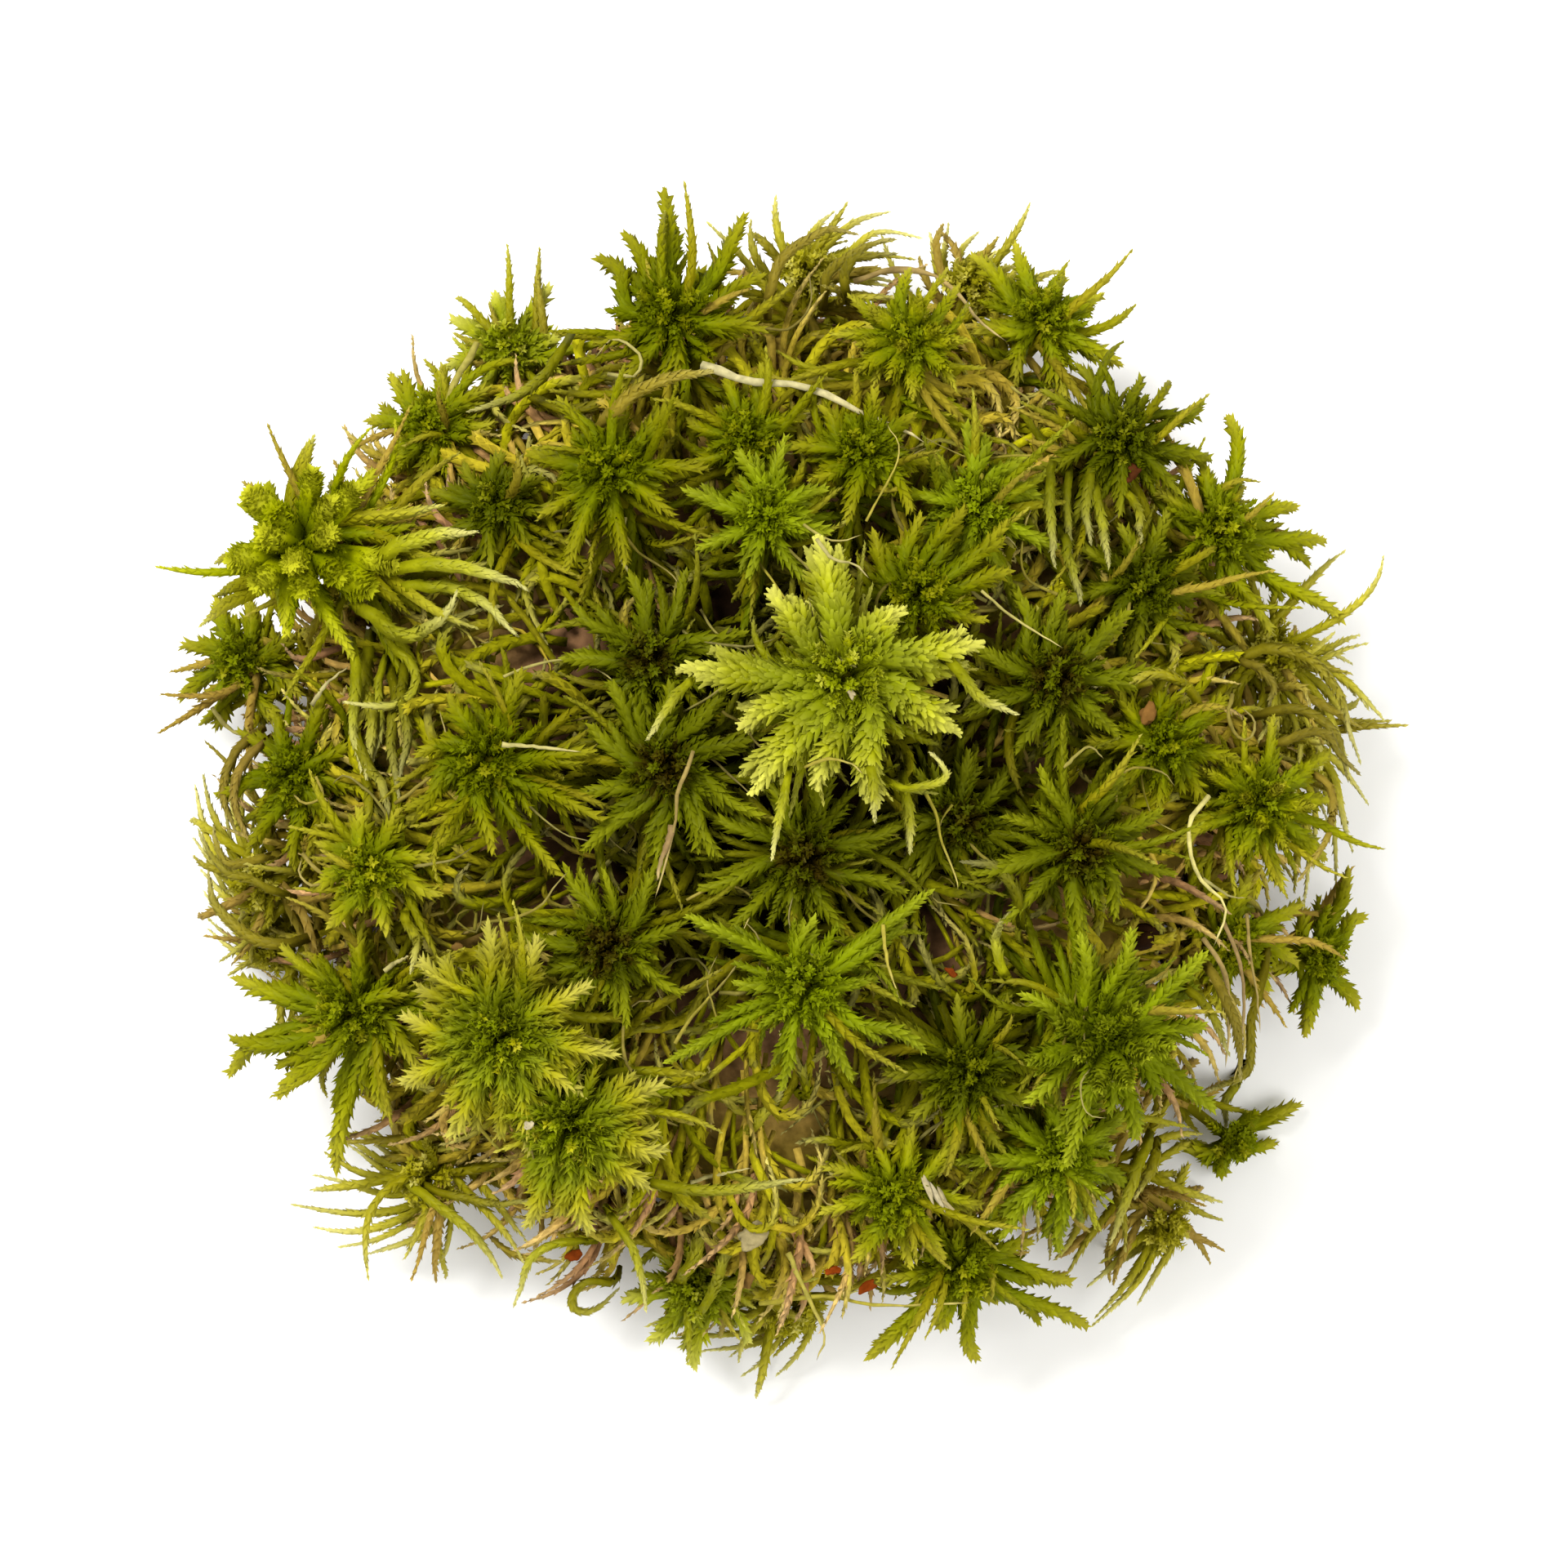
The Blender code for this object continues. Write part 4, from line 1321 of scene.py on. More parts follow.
@dataclass
class Thatch:
    """The mat of dead stems and fallen branches that the plants stand in."""

    mound: Mound
    # Dead stems over the whole mound, those that hang down its flanks side by side, and bare ones
    # close to the heart in the gaps between the others.
    scattered: Layer = Layer(
        420, heights=(-0.1, 0.97), lengths=(5, 15), lifts=(0, 2.2), pull=0.9, curl=2.2,
        age=0.9, fade=32, age_unrest=0.2, youngest=0.05,
        light=0.3, rim_light=0.95, light_unrest=0.12, lightest=1.2)
    flanking: Layer = Layer(
        600, heights=(-0.12, 0.42), lengths=(6, 14), lifts=(0, 1.6), pull=2.6, curl=1.0,
        age=0.95, fade=26, age_unrest=0.14, youngest=0.15,
        light=0.35, light_rise=26, light_unrest=0.15, ripe=0.6)
    underlying: Layer = Layer(
        290, heights=(0.02, 0.6), lengths=(6, 12), lifts=(-0.3, 0.6), pull=1.3, curl=1.8,
        age=0.8, fade=32, age_unrest=0.15, youngest=0.1,
        light=0.25, rim_light=0.6, light_unrest=0.12, ripe=0.6)
    olive: Layer = Layer(620, heights=(0.12, 0.97), lengths=(5, 12), lifts=(0.5, 4.0), pull=0.5, curl=2.0)
    dead_clothing: Clothing = Clothing(
        core=0.26, leaf=0.8, slender=0.38, spacing=0.4, spread=(8, 12, 8), sides=3)
    olive_clothing: Clothing = Clothing(
        core=0.4, leaf=1.0, slender=0.46, spacing=0.155, spread=(8, 13, 6), sides=3)
    fringe_clothing: Clothing = replace(olive_clothing, core=0.3, leaf=0.9, spacing=0.2)
    points: int = 9
    wander: float = 0.9
    first_pull: float = 2  # how much more strongly they set out downhill
    rooted: float = 0.4  # how deep in the surface they begin
    arch: tuple[float, float] = (0.85, 0.05)  # how much of an arch they follow, and its start
    clearance: float = 0.15  # how far they lie off the surface at the least
    fringe: int = 270
    # Bearings where the fringe sticks out furthest.
    fullest: tuple[int, ...] = (140, 160, 180, 238, 250, 262, 280, 330, 350)
    bunched: float = 0.5  # the share of it that is bunched there
    bunch_width: float = 7  # how widely it is bunched
    fringe_rise: tuple[float, float] = (0.0, 0.5)  # how high over the edge they start, in radians
    fringe_lean: tuple[float, float] = (0.2, 0.9)  # how far they set out to one side
    fringe_lift: tuple[float, float] = (0.0, 0.6)  # how far they set out upwards
    fringe_lengths: tuple[float, float] = (5, 10)
    fringe_sag: tuple[float, float] = (0.4, 1.4)
    fringe_wander: float = 0.5
    fringe_curl: float = 0.45  # how far a tip bends clockwise, as a share of its branch's length
    fringe_ages: tuple[float, float] = (0.12, 0.82)
    fringe_lights: tuple[float, float] = (0.65, 1.05)
    core_share: float = 0.93
    core_roughness: float = 0.3
    paled_and_lit_from: float = 12  # the core starts to pale and to take painted light this far out
    paled_and_lit_over: float = 14  # and is fully pale and lit so much further out
    paled_and_lit_up: float = 12  # and this far up
    stems: Pile = field(init=False)
    mat: Pile = field(init=False)

    def __post_init__(self) -> None:
        """Prepares to lay the thatch on the mound."""
        self.stems = Pile("dead_stem_thatch")
        self.mat = Pile("hanging_branch_mat")

    def crawl(self, layer: Layer, rng: Rng) -> Array:
        """Centrelines that follow the mound's surface.

        Args:
            layer: How many there are and how they run.
            rng: Random numbers.

        Returns:
            An array of centrelines, points and coordinates.
        """
        count = layer.count
        z = rng.uniform(*layer.heights, count)
        turn = rng.uniform(0, math.tau, count)
        level = np.sqrt(1 - z**2)
        ways = np.stack([level * np.cos(turn), level * np.sin(turn), z], axis=1)
        lengths, lift = rng.uniform(*layer.lengths, count), rng.uniform(*layer.lifts, count)
        curl = rng.normal(0, layer.curl, count)
        points = np.empty((count, self.points, 3))
        downhill = (DOWN + ways * (1, 1, 0)) * layer.pull * self.first_pull
        heading = rng.normal(0, 1, (count, 3)) + downhill
        place = HEART + ways * (self.mound.reach(ways) - self.rooted)
        points[:, 0] = place
        share = 1 / (self.points - 1)
        for k in range(1, self.points):
            normal = unit(place - HEART)
            heading = unit(heading - dot(heading, normal) * normal)
            swing = np.cross(normal, heading) * curl[:, None] + DOWN * layer.pull
            heading = unit(heading + (swing + rng.normal(0, self.wander, (count, 3))) * share)
            place = place + heading * (lengths * share)[:, None]
            way = unit(place - HEART)
            arch = math.sin(math.pi * min(1.0, k * share * self.arch[0] + self.arch[1]))
            place = HEART + way * (self.mound.reach(way) + (lift * arch + self.clearance)[:, None])
            place[:, 2] = np.maximum(place[:, 2], FLOOR_GAP)
            points[:, k] = place
        return points

    def dead_strands(self, layer: Layer) -> Strands:
        """Bare dead stems and branches, browner the lower they lie, in painted shade in the middle of the
        clump and in painted light at the rim and higher up.

        Args:
            layer: How many there are, how they run and how they are coloured.

        Returns:
            All of them.
        """
        rng, count = self.stems.rng, layer.count
        points = self.crawl(layer, rng)
        height = points[..., 2].mean(axis=1)
        age = layer.age - height / layer.fade + rng.normal(0, layer.age_unrest, count)
        # painted light: more at the rim and higher up, painted shade in the middle and low down
        light = layer.light + layer.rim_light * outness(points) ** 2 + height / layer.light_rise
        light = light + rng.normal(0, layer.light_unrest, count)
        age, light = np.clip(age, layer.youngest, 1), np.clip(light, 0, layer.lightest)
        return Strands(points, age, light, np.full(count, layer.ripe))

    def olive_branches(self) -> Strands:
        """Branches that are still olive green, on the upper half of the mound.

        Returns:
            All of them. They are older near the rim, and painted light makes them lighter there.
        """
        rng, count = self.mat.rng, self.olive.count
        points = self.crawl(self.olive, rng)
        out = outness(points)
        age = np.clip(0.2 * out**2 + rng.normal(0.02, 0.09, count), 0, 1)
        # painted light: painted shade in the middle of the clump, lighter at the rim
        return Strands(points, age, np.clip(0.3 + 0.86 * out**2, 0, 1.15), np.ones(count))

    def fringe_branches(self) -> Strands:
        """Thin branches that stand out over the edge, all curved clockwise as seen from above.

        Returns:
            All of them.
        """
        rng, count = self.mat.rng, self.fringe
        bearing = rng.uniform(0, math.tau, count)
        bunched = rng.random(count) < self.bunched
        fullest = rng.choice(self.fullest, bunched.sum())
        bearing[bunched] = np.radians(fullest + rng.normal(0, self.bunch_width, bunched.sum()))
        tilt = rng.uniform(*self.fringe_rise, count)
        outward = np.stack([np.cos(bearing), np.sin(bearing), np.zeros(count)], axis=1)
        ways = unit(outward + np.tan(tilt)[:, None] * -DOWN)
        starts = HEART + ways * self.mound.reach(ways)
        across = np.cross(outward, -DOWN)
        headings = outward - across * rng.uniform(*self.fringe_lean, (count, 1))
        headings = headings - DOWN * rng.uniform(*self.fringe_lift, (count, 1))
        lengths = rng.uniform(*self.fringe_lengths, count)
        sag = rng.uniform(*self.fringe_sag, count)
        points = growth(starts, headings, lengths, sag, self.fringe_wander, self.points, rng)
        share = np.linspace(0, 1, self.points)[None, :, None]
        points = points + across[:, None] * share**2 * (self.fringe_curl * lengths)[:, None, None]
        points = self.mound.kept_outside(points, FLOOR_GAP)
        age, light = rng.uniform(*self.fringe_ages, count), rng.uniform(*self.fringe_lights, count)
        return Strands(points, age, light, np.ones(count))

    def core(self) -> None:
        """Adds the rotting heart of the mound, which closes the gaps between the strands; it is near
        black in the middle, partly painted shade for the deep gaps, and paler with painted light towards
        the rim and higher up.
        """
        stamp, rng = Stamp.ball(6, 1.0), self.stems.rng
        ways = unit(stamp.corners)
        rough = rng.normal(0, self.core_roughness, (len(ways), 1))
        corners = HEART + ways * (self.mound.reach(ways) * self.core_share + rough)
        corners[:, 2] = np.maximum(corners[:, 2], 0.1)
        out = (np.hypot(corners[:, 0], corners[:, 1]) - self.paled_and_lit_from) / self.paled_and_lit_over
        bleached = np.clip(out, 0, 1) * np.clip(corners[:, 2] / self.paled_and_lit_up, 0, 1)
        none = np.zeros((1, 1))
        # bleached sets both how pale the core is and how much painted light it gets: near black and in
        # painted shade in the middle, pale and lit towards the rim and upwards
        self.stems.add(
            corners[None], stamp, along=none, leaf=none, chance=rng.random((1, len(ways))),
            age=(1 - 0.6 * bleached)[None], light=(0.03 + 0.85 * bleached)[None])

    def build(self, material: bpy.types.Material) -> None:
        """Makes the thatch, which stands for the solid mound, and the mat of branches on it.

        Args:
            material: The dead stems' finish.
        """
        self.core()
        bare_clothing = replace(self.dead_clothing, core=0.36, spacing=0.6)
        self.stems.clothe(self.dead_strands(self.scattered), self.dead_clothing)
        self.stems.clothe(self.dead_strands(self.flanking), bare_clothing)
        under = self.dead_strands(self.underlying)
        girth = replace(self.dead_clothing, core=0.34).girth(under, self.stems.rng)
        self.stems.add_cores(under, girth, self.dead_clothing.sides)
        self.mat.clothe(self.olive_branches(), self.olive_clothing)
        self.mat.clothe(self.fringe_branches(), self.fringe_clothing)
        for pile in (self.stems, self.mat):
            piece = pile.build(material)
            if pile is self.stems:
                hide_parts("dead_stem_mound")


# What lies on the plants


class Relief:
    """How high the plants reach, on a grid seen from above."""

    CELL, CELLS = 0.7, 150
    FULLNESS = 55  # what lies on the plants rests this high among the leaf tips, in percent
    STEEPEST = 0.7  # the most that a strand falls for each step on
    HIGHEST = 2.0  # the most that it rises above its root

    def __init__(self) -> None:
        """Starts with a bare table."""
        self.table = np.zeros((self.CELLS, self.CELLS))

    def spot(self, x: Array, y: Array) -> tuple[Array, Array]:
        """Finds some places on the grid.

        Args:
            x: How far each is to the right of the origin.
            y: How far each is beyond it.

        Returns:
            Their rows and their columns.
        """
        cells = (np.round(np.stack([x, y]) / self.CELL) + self.CELLS / 2).astype(int)
        row, column = np.clip(cells, 0, self.CELLS - 1)
        return row, column

    def note(self, pile: Pile) -> None:
        """Raises the table to the corners of a pile."""
        for corners in pile.corners:
            np.maximum.at(self.table, self.spot(corners[:, 0], corners[:, 1]), corners[:, 2])

    def settle(self) -> None:
        """Evens the table out, so that what lies on it rests among the leaf tips."""
        shifts = [(0, 0), (0, 1), (1, 0), (0, -1), (-1, 0), (1, 1), (1, -1), (-1, 1), (-1, -1)]
        shifted = [np.roll(self.table, shift, axis=(0, 1)) for shift in shifts]
        self.table = np.percentile(shifted, self.FULLNESS, axis=0)

    def draped(self, route: tuple[Place, ...], count: int, lift: float) -> Array:
        """A centreline that lies over the plants.

        Args:
            route: Pixels of the reference that it passes.
            count: How many points to return.
            lift: How far it lies above the plants.

        Returns:
            The centreline, which falls no faster than a stiff strand would.
        """
        flat = np.array([(*at_pixel(*pixel), 0.0) for pixel in route])
        points = smooth_path(flat, count)
        under = self.table[self.spot(points[:, 0], points[:, 1])] + lift
        step = np.linalg.norm(points[1] - points[0]) * self.STEEPEST
        for k in range(1, count):
            under[k] = max(under[k], under[k - 1] - step)
        for _ in range(3):
            under = np.convolve(np.pad(under, 1, mode="edge"), (0.25, 0.5, 0.25), mode="valid")
        points[:, 2] = np.minimum(under, under[0] + self.HIGHEST)
        return points


@dataclass(frozen=True)
class Runner:
    """A branch or strand that is picked out on the clump.

    Attributes:
        route: Pixels of the reference that it passes, from its root to its tip.
        radius: Its radius at its thickest.
        age: How dead it is, from 0, fresh, over 1, limp, to 2, dry.
        light: How much painted light it gets, from 0, in painted shade, to 1.
    """

    route: tuple[Place, ...]
    radius: float
    age: float
    light: float = 0.95

    POINTS = 14


# Each runner's fourth number, where given, is its painted light; the low ones are painted shade.
SMOOTH_BRANCHES = (
    # tails of the crown
    Runner(((862, 822), (840, 842), (820, 868), (797, 903)), 0.3, 0.0, 0.8),
    Runner(((966, 930), (962, 965), (954, 1005), (946, 1047)), 0.38, 0.0, 0.9),
    Runner(((1104, 945), (1108, 975), (1112, 1005), (1113, 1040)), 0.4, 0.1, 1.0),
    Runner(((1150, 800), (1172, 825), (1200, 858), (1238, 874)), 0.5, 0.0),
    Runner(((1078, 950), (1102, 966), (1140, 960), (1158, 950), (1140, 925)), 0.36, 0.1),
    Runner(((1060, 925), (1067, 955), (1069, 1000)), 0.38, 0.0, 0.6),
    # over the top left of the clump
    Runner(((727, 532), (765, 495), (815, 467), (877, 454)), 0.55, 1.4),
    Runner(((700, 405), (680, 440), (655, 470), (610, 490), (575, 500)), 0.45, 0.4, 0.5),
    Runner(((640, 480), (690, 500), (735, 490), (790, 440)), 0.4, 0.9, 0.5),
    Runner(((450, 690), (490, 668), (530, 655), (580, 652)), 0.66, 0.0),
    Runner(((470, 700), (520, 692), (565, 695), (605, 705), (642, 720)), 0.6, 0.0),
    Runner(((470, 725), (515, 718), (560, 722), (600, 745), (630, 775)), 0.62, 0.0),
    Runner(((430, 735), (462, 760), (495, 778), (530, 768), (558, 730)), 0.66, 0.1),
    Runner((
        (455, 765), (480, 790), (505, 815), (510, 845), (490, 862),
        (460, 866), (425, 860)), 0.5, 0.2),
    Runner(((428, 871), (437, 909), (450, 940), (469, 965), (475, 1002)), 0.4, 0.5, 0.6),
    Runner(((500, 1102), (497, 1127), (512, 1152), (506, 1184)), 0.36, 0.5, 1.0),
    # the band that hangs below the sunlit head at the left
    Runner(((428, 780), (436, 830), (430, 885), (440, 940)), 0.44, 0.1),
    Runner(((452, 770), (445, 830), (455, 880), (448, 960)), 0.5, 0.5),
    Runner(((474, 790), (462, 840), (466, 890), (455, 930)), 0.36, 0.2),
    Runner(((470, 800), (484, 850), (478, 900), (488, 975)), 0.46, 0.6, 0.4),
    Runner(((498, 790), (492, 850), (500, 900), (490, 950)), 0.4, 0.5, 0.3),
    Runner(((440, 930), (452, 980), (446, 1030), (460, 1070)), 0.42, 0.6, 0.7),
    # arcs that stand out at the top
    Runner((
        (940, 389), (943, 351), (959, 314), (990, 289),
        (1015, 276), (1046, 281)), 0.4, 1.4, 0.6),
    Runner(((1009, 376), (1012, 339), (1034, 314), (1065, 295), (1090, 287)), 0.44, 1.2, 0.65),
    Runner(((1040, 370), (1034, 339), (1046, 314), (1093, 307)), 0.36, 1.1, 0.4),
    # arcs that stand out at the right
    Runner((
        (1500, 815), (1535, 800), (1560, 792), (1600, 800), (1630, 825), (1652, 855),
        (1662, 900)), 0.44, 1.1, 0.85),
    Runner((
        (1530, 880), (1560, 872), (1590, 867), (1620, 880),
        (1645, 905), (1655, 945)), 0.44, 1.2, 0.4),
    Runner((
        (1545, 915), (1580, 905), (1605, 895), (1630, 900),
        (1642, 920), (1667, 945)), 0.38, 1.3, 0.35),
    Runner(((1510, 800), (1530, 810), (1550, 820), (1565, 840), (1560, 860)), 0.36, 1.3, 0.5),
    Runner(((1550, 845), (1575, 840), (1600, 840), (1607, 857)), 0.32, 1.4, 0.9),
    Runner(((1600, 940), (1630, 960), (1636, 990), (1625, 1030), (1595, 1075)), 0.36, 1.6, 0.8),
    Runner((
        (1470, 880), (1465, 855), (1440, 830), (1410, 825),
        (1380, 835), (1345, 840)), 0.42, 0.9, 0.9),
    # combs at the left
    Runner((
        (360, 1100), (334, 1090), (300, 1077), (275, 1071),
        (253, 1046), (244, 1027)), 0.42, 1.1, 0.5),
    Runner(((340, 1045), (312, 1052), (275, 1059), (259, 1034), (256, 1018)), 0.34, 1.3, 0.6),
    Runner(((381, 1146), (331, 1159), (287, 1140), (256, 1109), (247, 1074)), 0.42, 1.2, 0.7),
    Runner(((319, 890), (288, 915), (269, 952), (269, 984), (281, 1015)), 0.34, 1.5, 0.5),
    Runner(((330, 900), (302, 925), (284, 955), (284, 990), (300, 1030)), 0.34, 1.8, 0.55),
    # the fringe at the bottom
    Runner((
        (480, 1440), (495, 1455), (530, 1480), (565, 1510),
        (590, 1540), (607, 1570)), 0.38, 0.5, 1.0),
    Runner(((500, 1450), (545, 1470), (605, 1480), (650, 1475)), 0.38, 0.9, 0.65),
    Runner((
        (730, 1525), (695, 1525), (660, 1535), (640, 1560),
        (635, 1580), (627, 1602)), 0.38, 0.3),
    Runner(((595, 1525), (630, 1545), (680, 1552)), 0.26, 1.4, 0.9),
    Runner((
        (755, 1560), (750, 1580), (720, 1578), (700, 1590), (695, 1612), (712, 1620), (735, 1608),
        (752, 1590)), 0.32, 0.8, 0.85),
    Runner(((740, 1475), (760, 1505), (780, 1540), (790, 1600)), 0.4, 0.4, 1.0),
    Runner(((850, 1625), (870, 1590), (885, 1550), (905, 1510)), 0.5, 0.2),
    Runner(((825, 1585), (845, 1550), (857, 1520), (855, 1485)), 0.48, 0.4, 1.0),
    Runner(((880, 1410), (905, 1395), (940, 1360), (960, 1330)), 0.48, 0.6, 1.0),
    Runner(((780, 1440), (840, 1455), (905, 1455), (980, 1445)), 0.46, 0.4, 0.7),
    Runner(((1411, 1387), (1401, 1418), (1385, 1460), (1364, 1524)), 0.42, 0.5),
    Runner(((1425, 1400), (1415, 1440), (1398, 1470)), 0.38, 0.9),
    # at the lower right, the last of them with the small head at its end
    Runner((
        (1560, 1150), (1550, 1200), (1538, 1260), (1536, 1318),
        (1500, 1334), (1462, 1345)), 0.4, 1.1, 0.7),
    Runner(((1470, 1170), (1496, 1215), (1515, 1265), (1520, 1318)), 0.38, 1.4, 0.4),
    Runner(((1440, 1200), (1478, 1235), (1500, 1285)), 0.36, 0.6, 0.35),
    Runner(((1536, 1305), (1528, 1335), (1514, 1355), (1514, 1385)), 0.34, 0.4, 0.8),
    # arches in the middle and at the right
    Runner(((1251, 1135), (1243, 1092), (1217, 1060), (1180, 1055)), 0.4, 0.3, 0.1),
    Runner(((1238, 1208), (1222, 1171), (1219, 1139), (1233, 1118)), 0.34, 0.0, 1.0),
    # the curtain below the dark head at the top right
    Runner(((1290, 560), (1285, 610), (1290, 690)), 0.42, 0.0, 0.4),
    Runner(((1312, 565), (1306, 620), (1310, 682)), 0.4, 0.0, 0.3),
    Runner(((1335, 575), (1350, 640), (1357, 690)), 0.4, 0.1, 0.55),
    Runner(((1300, 640), (1305, 670), (1322, 735)), 0.46, 0.0, 0.35),
    Runner(((1372, 590), (1395, 625), (1397, 662)), 0.36, 0.4, 0.6),
    Runner(((1340, 560), (1330, 620), (1335, 660)), 0.4, 0.0, 0.3),
)

BARE_STRANDS = (
    Runner((
        (860, 448), (871, 451), (921, 470), (977, 473), (1015, 486), (1065, 511), (1115, 532),
        (1134, 545)), 0.34, 0.0),
    Runner((
        (1046, 339), (1090, 326), (1134, 329), (1171, 351),
        (1202, 389), (1234, 414)), 0.24, 0.6),
    Runner(((1480, 975), (1455, 1010), (1465, 1070), (1500, 1110), (1485, 1160)), 0.2, 0.12),
    Runner(((1475, 1076), (1506, 1097), (1527, 1100)), 0.14, 0.12),
    Runner(((580, 415), (545, 490), (545, 560), (600, 570), (640, 540)), 0.3, 0.2),
    Runner((
        (850, 920), (842, 945), (831, 970), (829, 1000), (824, 1025),
        (815, 1060), (803, 1100)), 0.16, 0.5),
    Runner(((824, 1010), (820, 1030), (812, 1050), (806, 1078)), 0.26, 0.75),
    Runner(((1200, 725), (1240, 758), (1300, 795)), 0.12, 0.15),
    Runner(((1000, 665), (1018, 688), (1045, 695), (1063, 712)), 0.15, 0.1),
    Runner(((1080, 1130), (1085, 1175), (1100, 1220)), 0.15, 0.3),
    Runner(((965, 1538), (988, 1590), (1010, 1640), (1000, 1672)), 0.2, 0.22),
    Runner(((930, 1602), (1010, 1592), (1080, 1603), (1190, 1600)), 0.2, 0.25),
    Runner(((381, 862), (400, 836), (425, 815)), 0.18, 0.05),
    Runner(((250, 865), (269, 890), (294, 899), (319, 887)), 0.18, 0.15),
    Runner((
        (369, 1046), (387, 1065), (400, 1077), (381, 1084),
        (366, 1071), (369, 1050)), 0.18, 0.4),
    Runner((
        (1510, 850), (1505, 880), (1520, 905), (1535, 900),
        (1537, 880), (1520, 865)), 0.16, 0.35),
    Runner(((469, 1190), (485, 1178), (500, 1171)), 0.2, 0.1),
    Runner(((845, 1450), (880, 1440), (920, 1432)), 0.16, 0.1),
    Runner(((1130, 965), (1146, 1000), (1152, 1030), (1168, 1070), (1172, 1090)), 0.14, 0.25),
    Runner(((1165, 985), (1154, 1000), (1150, 1012)), 0.1, 0.25),
    Runner(((1240, 470), (1262, 490), (1240, 500)), 0.12, 0.2),
    Runner(((1300, 940), (1330, 915), (1350, 930)), 0.14, 0.2),
    Runner(((1060, 640), (1100, 560), (1085, 520)), 0.1, 0.3),
    Runner(((985, 940), (1010, 930), (1040, 935), (1055, 948)), 0.14, 0.3),
    Runner(((618, 912), (660, 915), (715, 921)), 0.17, 0.1),
    Runner(((1475, 1150), (1500, 1190), (1508, 1250), (1504, 1310)), 0.2, 0.6),
    Runner(((1500, 1130), (1520, 1180), (1527, 1240), (1522, 1300)), 0.17, 0.7),
    Runner(((1530, 1120), (1534, 1170), (1545, 1230), (1548, 1268)), 0.14, 0.5),
    Runner(((1485, 1200), (1512, 1225), (1530, 1275), (1516, 1330)), 0.16, 0.4),
)


@dataclass
class LooseGrowth:
    """The smooth branches and bare strands picked out over the heads, and the wisps between them."""

    relief: Relief
    lying: float = 0.6  # how far a strand's middle lies above the leaf tips, in radii
    tremble: float = 0.12  # how far it strays from its route, in radii
    rooted: float = 0.28  # the share of a branch that goes down into its plant
    root_depth: float = 3.0  # how deep that goes
    bare_sides: int = 6
    # painted light of the bare strands
    bare_light: float = 0.8
    taper: float = 0.75  # how much thinner a bare strand is at its tip
    taper_late: float = 1.5  # how late it thins
    knotty: float = 0.12  # how unevenly thick it is
    wisps: int = 75
    wisp_sunk: float = 2.0  # how far they lie below the leaf tips
    # the wisps get less painted light, as painted shade where they lie sunk among the leaf tips
    wisp_lights: tuple[float, float] = (0.2, 0.65)
    wisp_bends: int = 4  # bends in each
    wisp_step: tuple[float, float] = (22, 46)  # length between two bends, in pixels
    wisp_radii: tuple[float, float] = (0.09, 0.17)
    wisp_ages: tuple[float, float] = (0.14, 0.38)

    def strand(self, runner: Runner, rng: Rng, light: float, lift: float = 0.0) -> Strands:
        """One runner's centreline, with a slight tremble.

        Args:
            runner: What is laid.
            rng: Random numbers.
            light: How much painted light it gets.
            lift: How far above the leaf tips it lies.

        Returns:
            The one strand.
        """
        points = self.relief.draped(runner.route, runner.POINTS, runner.radius * self.lying + lift)
        points[1:-1] += rng.normal(0, self.tremble * runner.radius, points[1:-1].shape)
        return Strands(points[None], np.array([runner.age]), np.array([light]), np.array([1.0]))

    def wisp(self, rng: Rng) -> Runner:
        """A thin pale strand that curls somewhere among the heads.

        Args:
            rng: Random numbers.

        Returns:
            The strand.
        """
        away, turn = RIM * PX_PER_MM * math.sqrt(rng.uniform(0.02, 1)), rng.uniform(0, math.tau)
        spot = np.array(MIDDLE_PX) + away * np.array((math.cos(turn), math.sin(turn)))
        heading, curl = turn + rng.uniform(1.6, 4.7), rng.normal(0, 0.7)
        route = [tuple(spot)]
        for _ in range(self.wisp_bends):
            step = rng.uniform(*self.wisp_step)
            spot = spot + step * np.array((math.cos(heading), math.sin(heading)))
            heading += curl + rng.normal(0, 0.25)
            route.append(tuple(spot))
        return Runner(tuple(route), rng.uniform(*self.wisp_radii), rng.uniform(*self.wisp_ages))

    def branches(self, material: bpy.types.Material) -> bpy.types.Object:
        """Makes the smooth branches.

        Args:
            material: The finish of a trailing branch.

        Returns:
            The piece.
        """
        pile = Pile("smooth_branches")
        for runner in SMOOTH_BRANCHES:
            strand = self.strand(runner, pile.rng, runner.light)
            down = np.clip(1 - np.linspace(0, 1, runner.POINTS) / self.rooted, 0, 1) ** 2
            strand.points[..., 2] -= self.root_depth * down
            pile.clothe(strand, replace(SMOOTH, core=runner.radius))
        piece = pile.build(material)
        return piece

    def strands(self, material: bpy.types.Material) -> bpy.types.Object:
        """Makes the bare strands and the wisps.

        Args:
            material: The finish of a bleached strand.

        Returns:
            The piece.
        """
        pile = Pile("bleached_strands")
        rng = pile.rng
        laid = [(runner, self.strand(runner, rng, self.bare_light)) for runner in BARE_STRANDS]
        for _ in range(self.wisps):
            runner = self.wisp(rng)
            light = rng.uniform(*self.wisp_lights)
            laid.append((runner, self.strand(runner, rng, light, -self.wisp_sunk)))
        for runner, strand in laid:
            taper = 1 - self.taper * np.linspace(0, 1, runner.POINTS) ** self.taper_late
            girth = runner.radius * taper * (1 + self.knotty * rng.normal(0, 1, runner.POINTS))
            pile.add_cores(strand, girth[None], self.bare_sides)
        piece = pile.build(material)
        return piece


@dataclass(frozen=True)
class Crumb:
    """A bit of litter caught in the moss.

    Attributes:
        pixel: Where it lies on the reference.
        size: Its length, width and thickness.
        turn: The way its length runs, in degrees.
        shade: Its colour, from 0, white, to 1, black.
    """

    pixel: Place
    size: tuple[float, float, float]
    turn: float
    shade: float


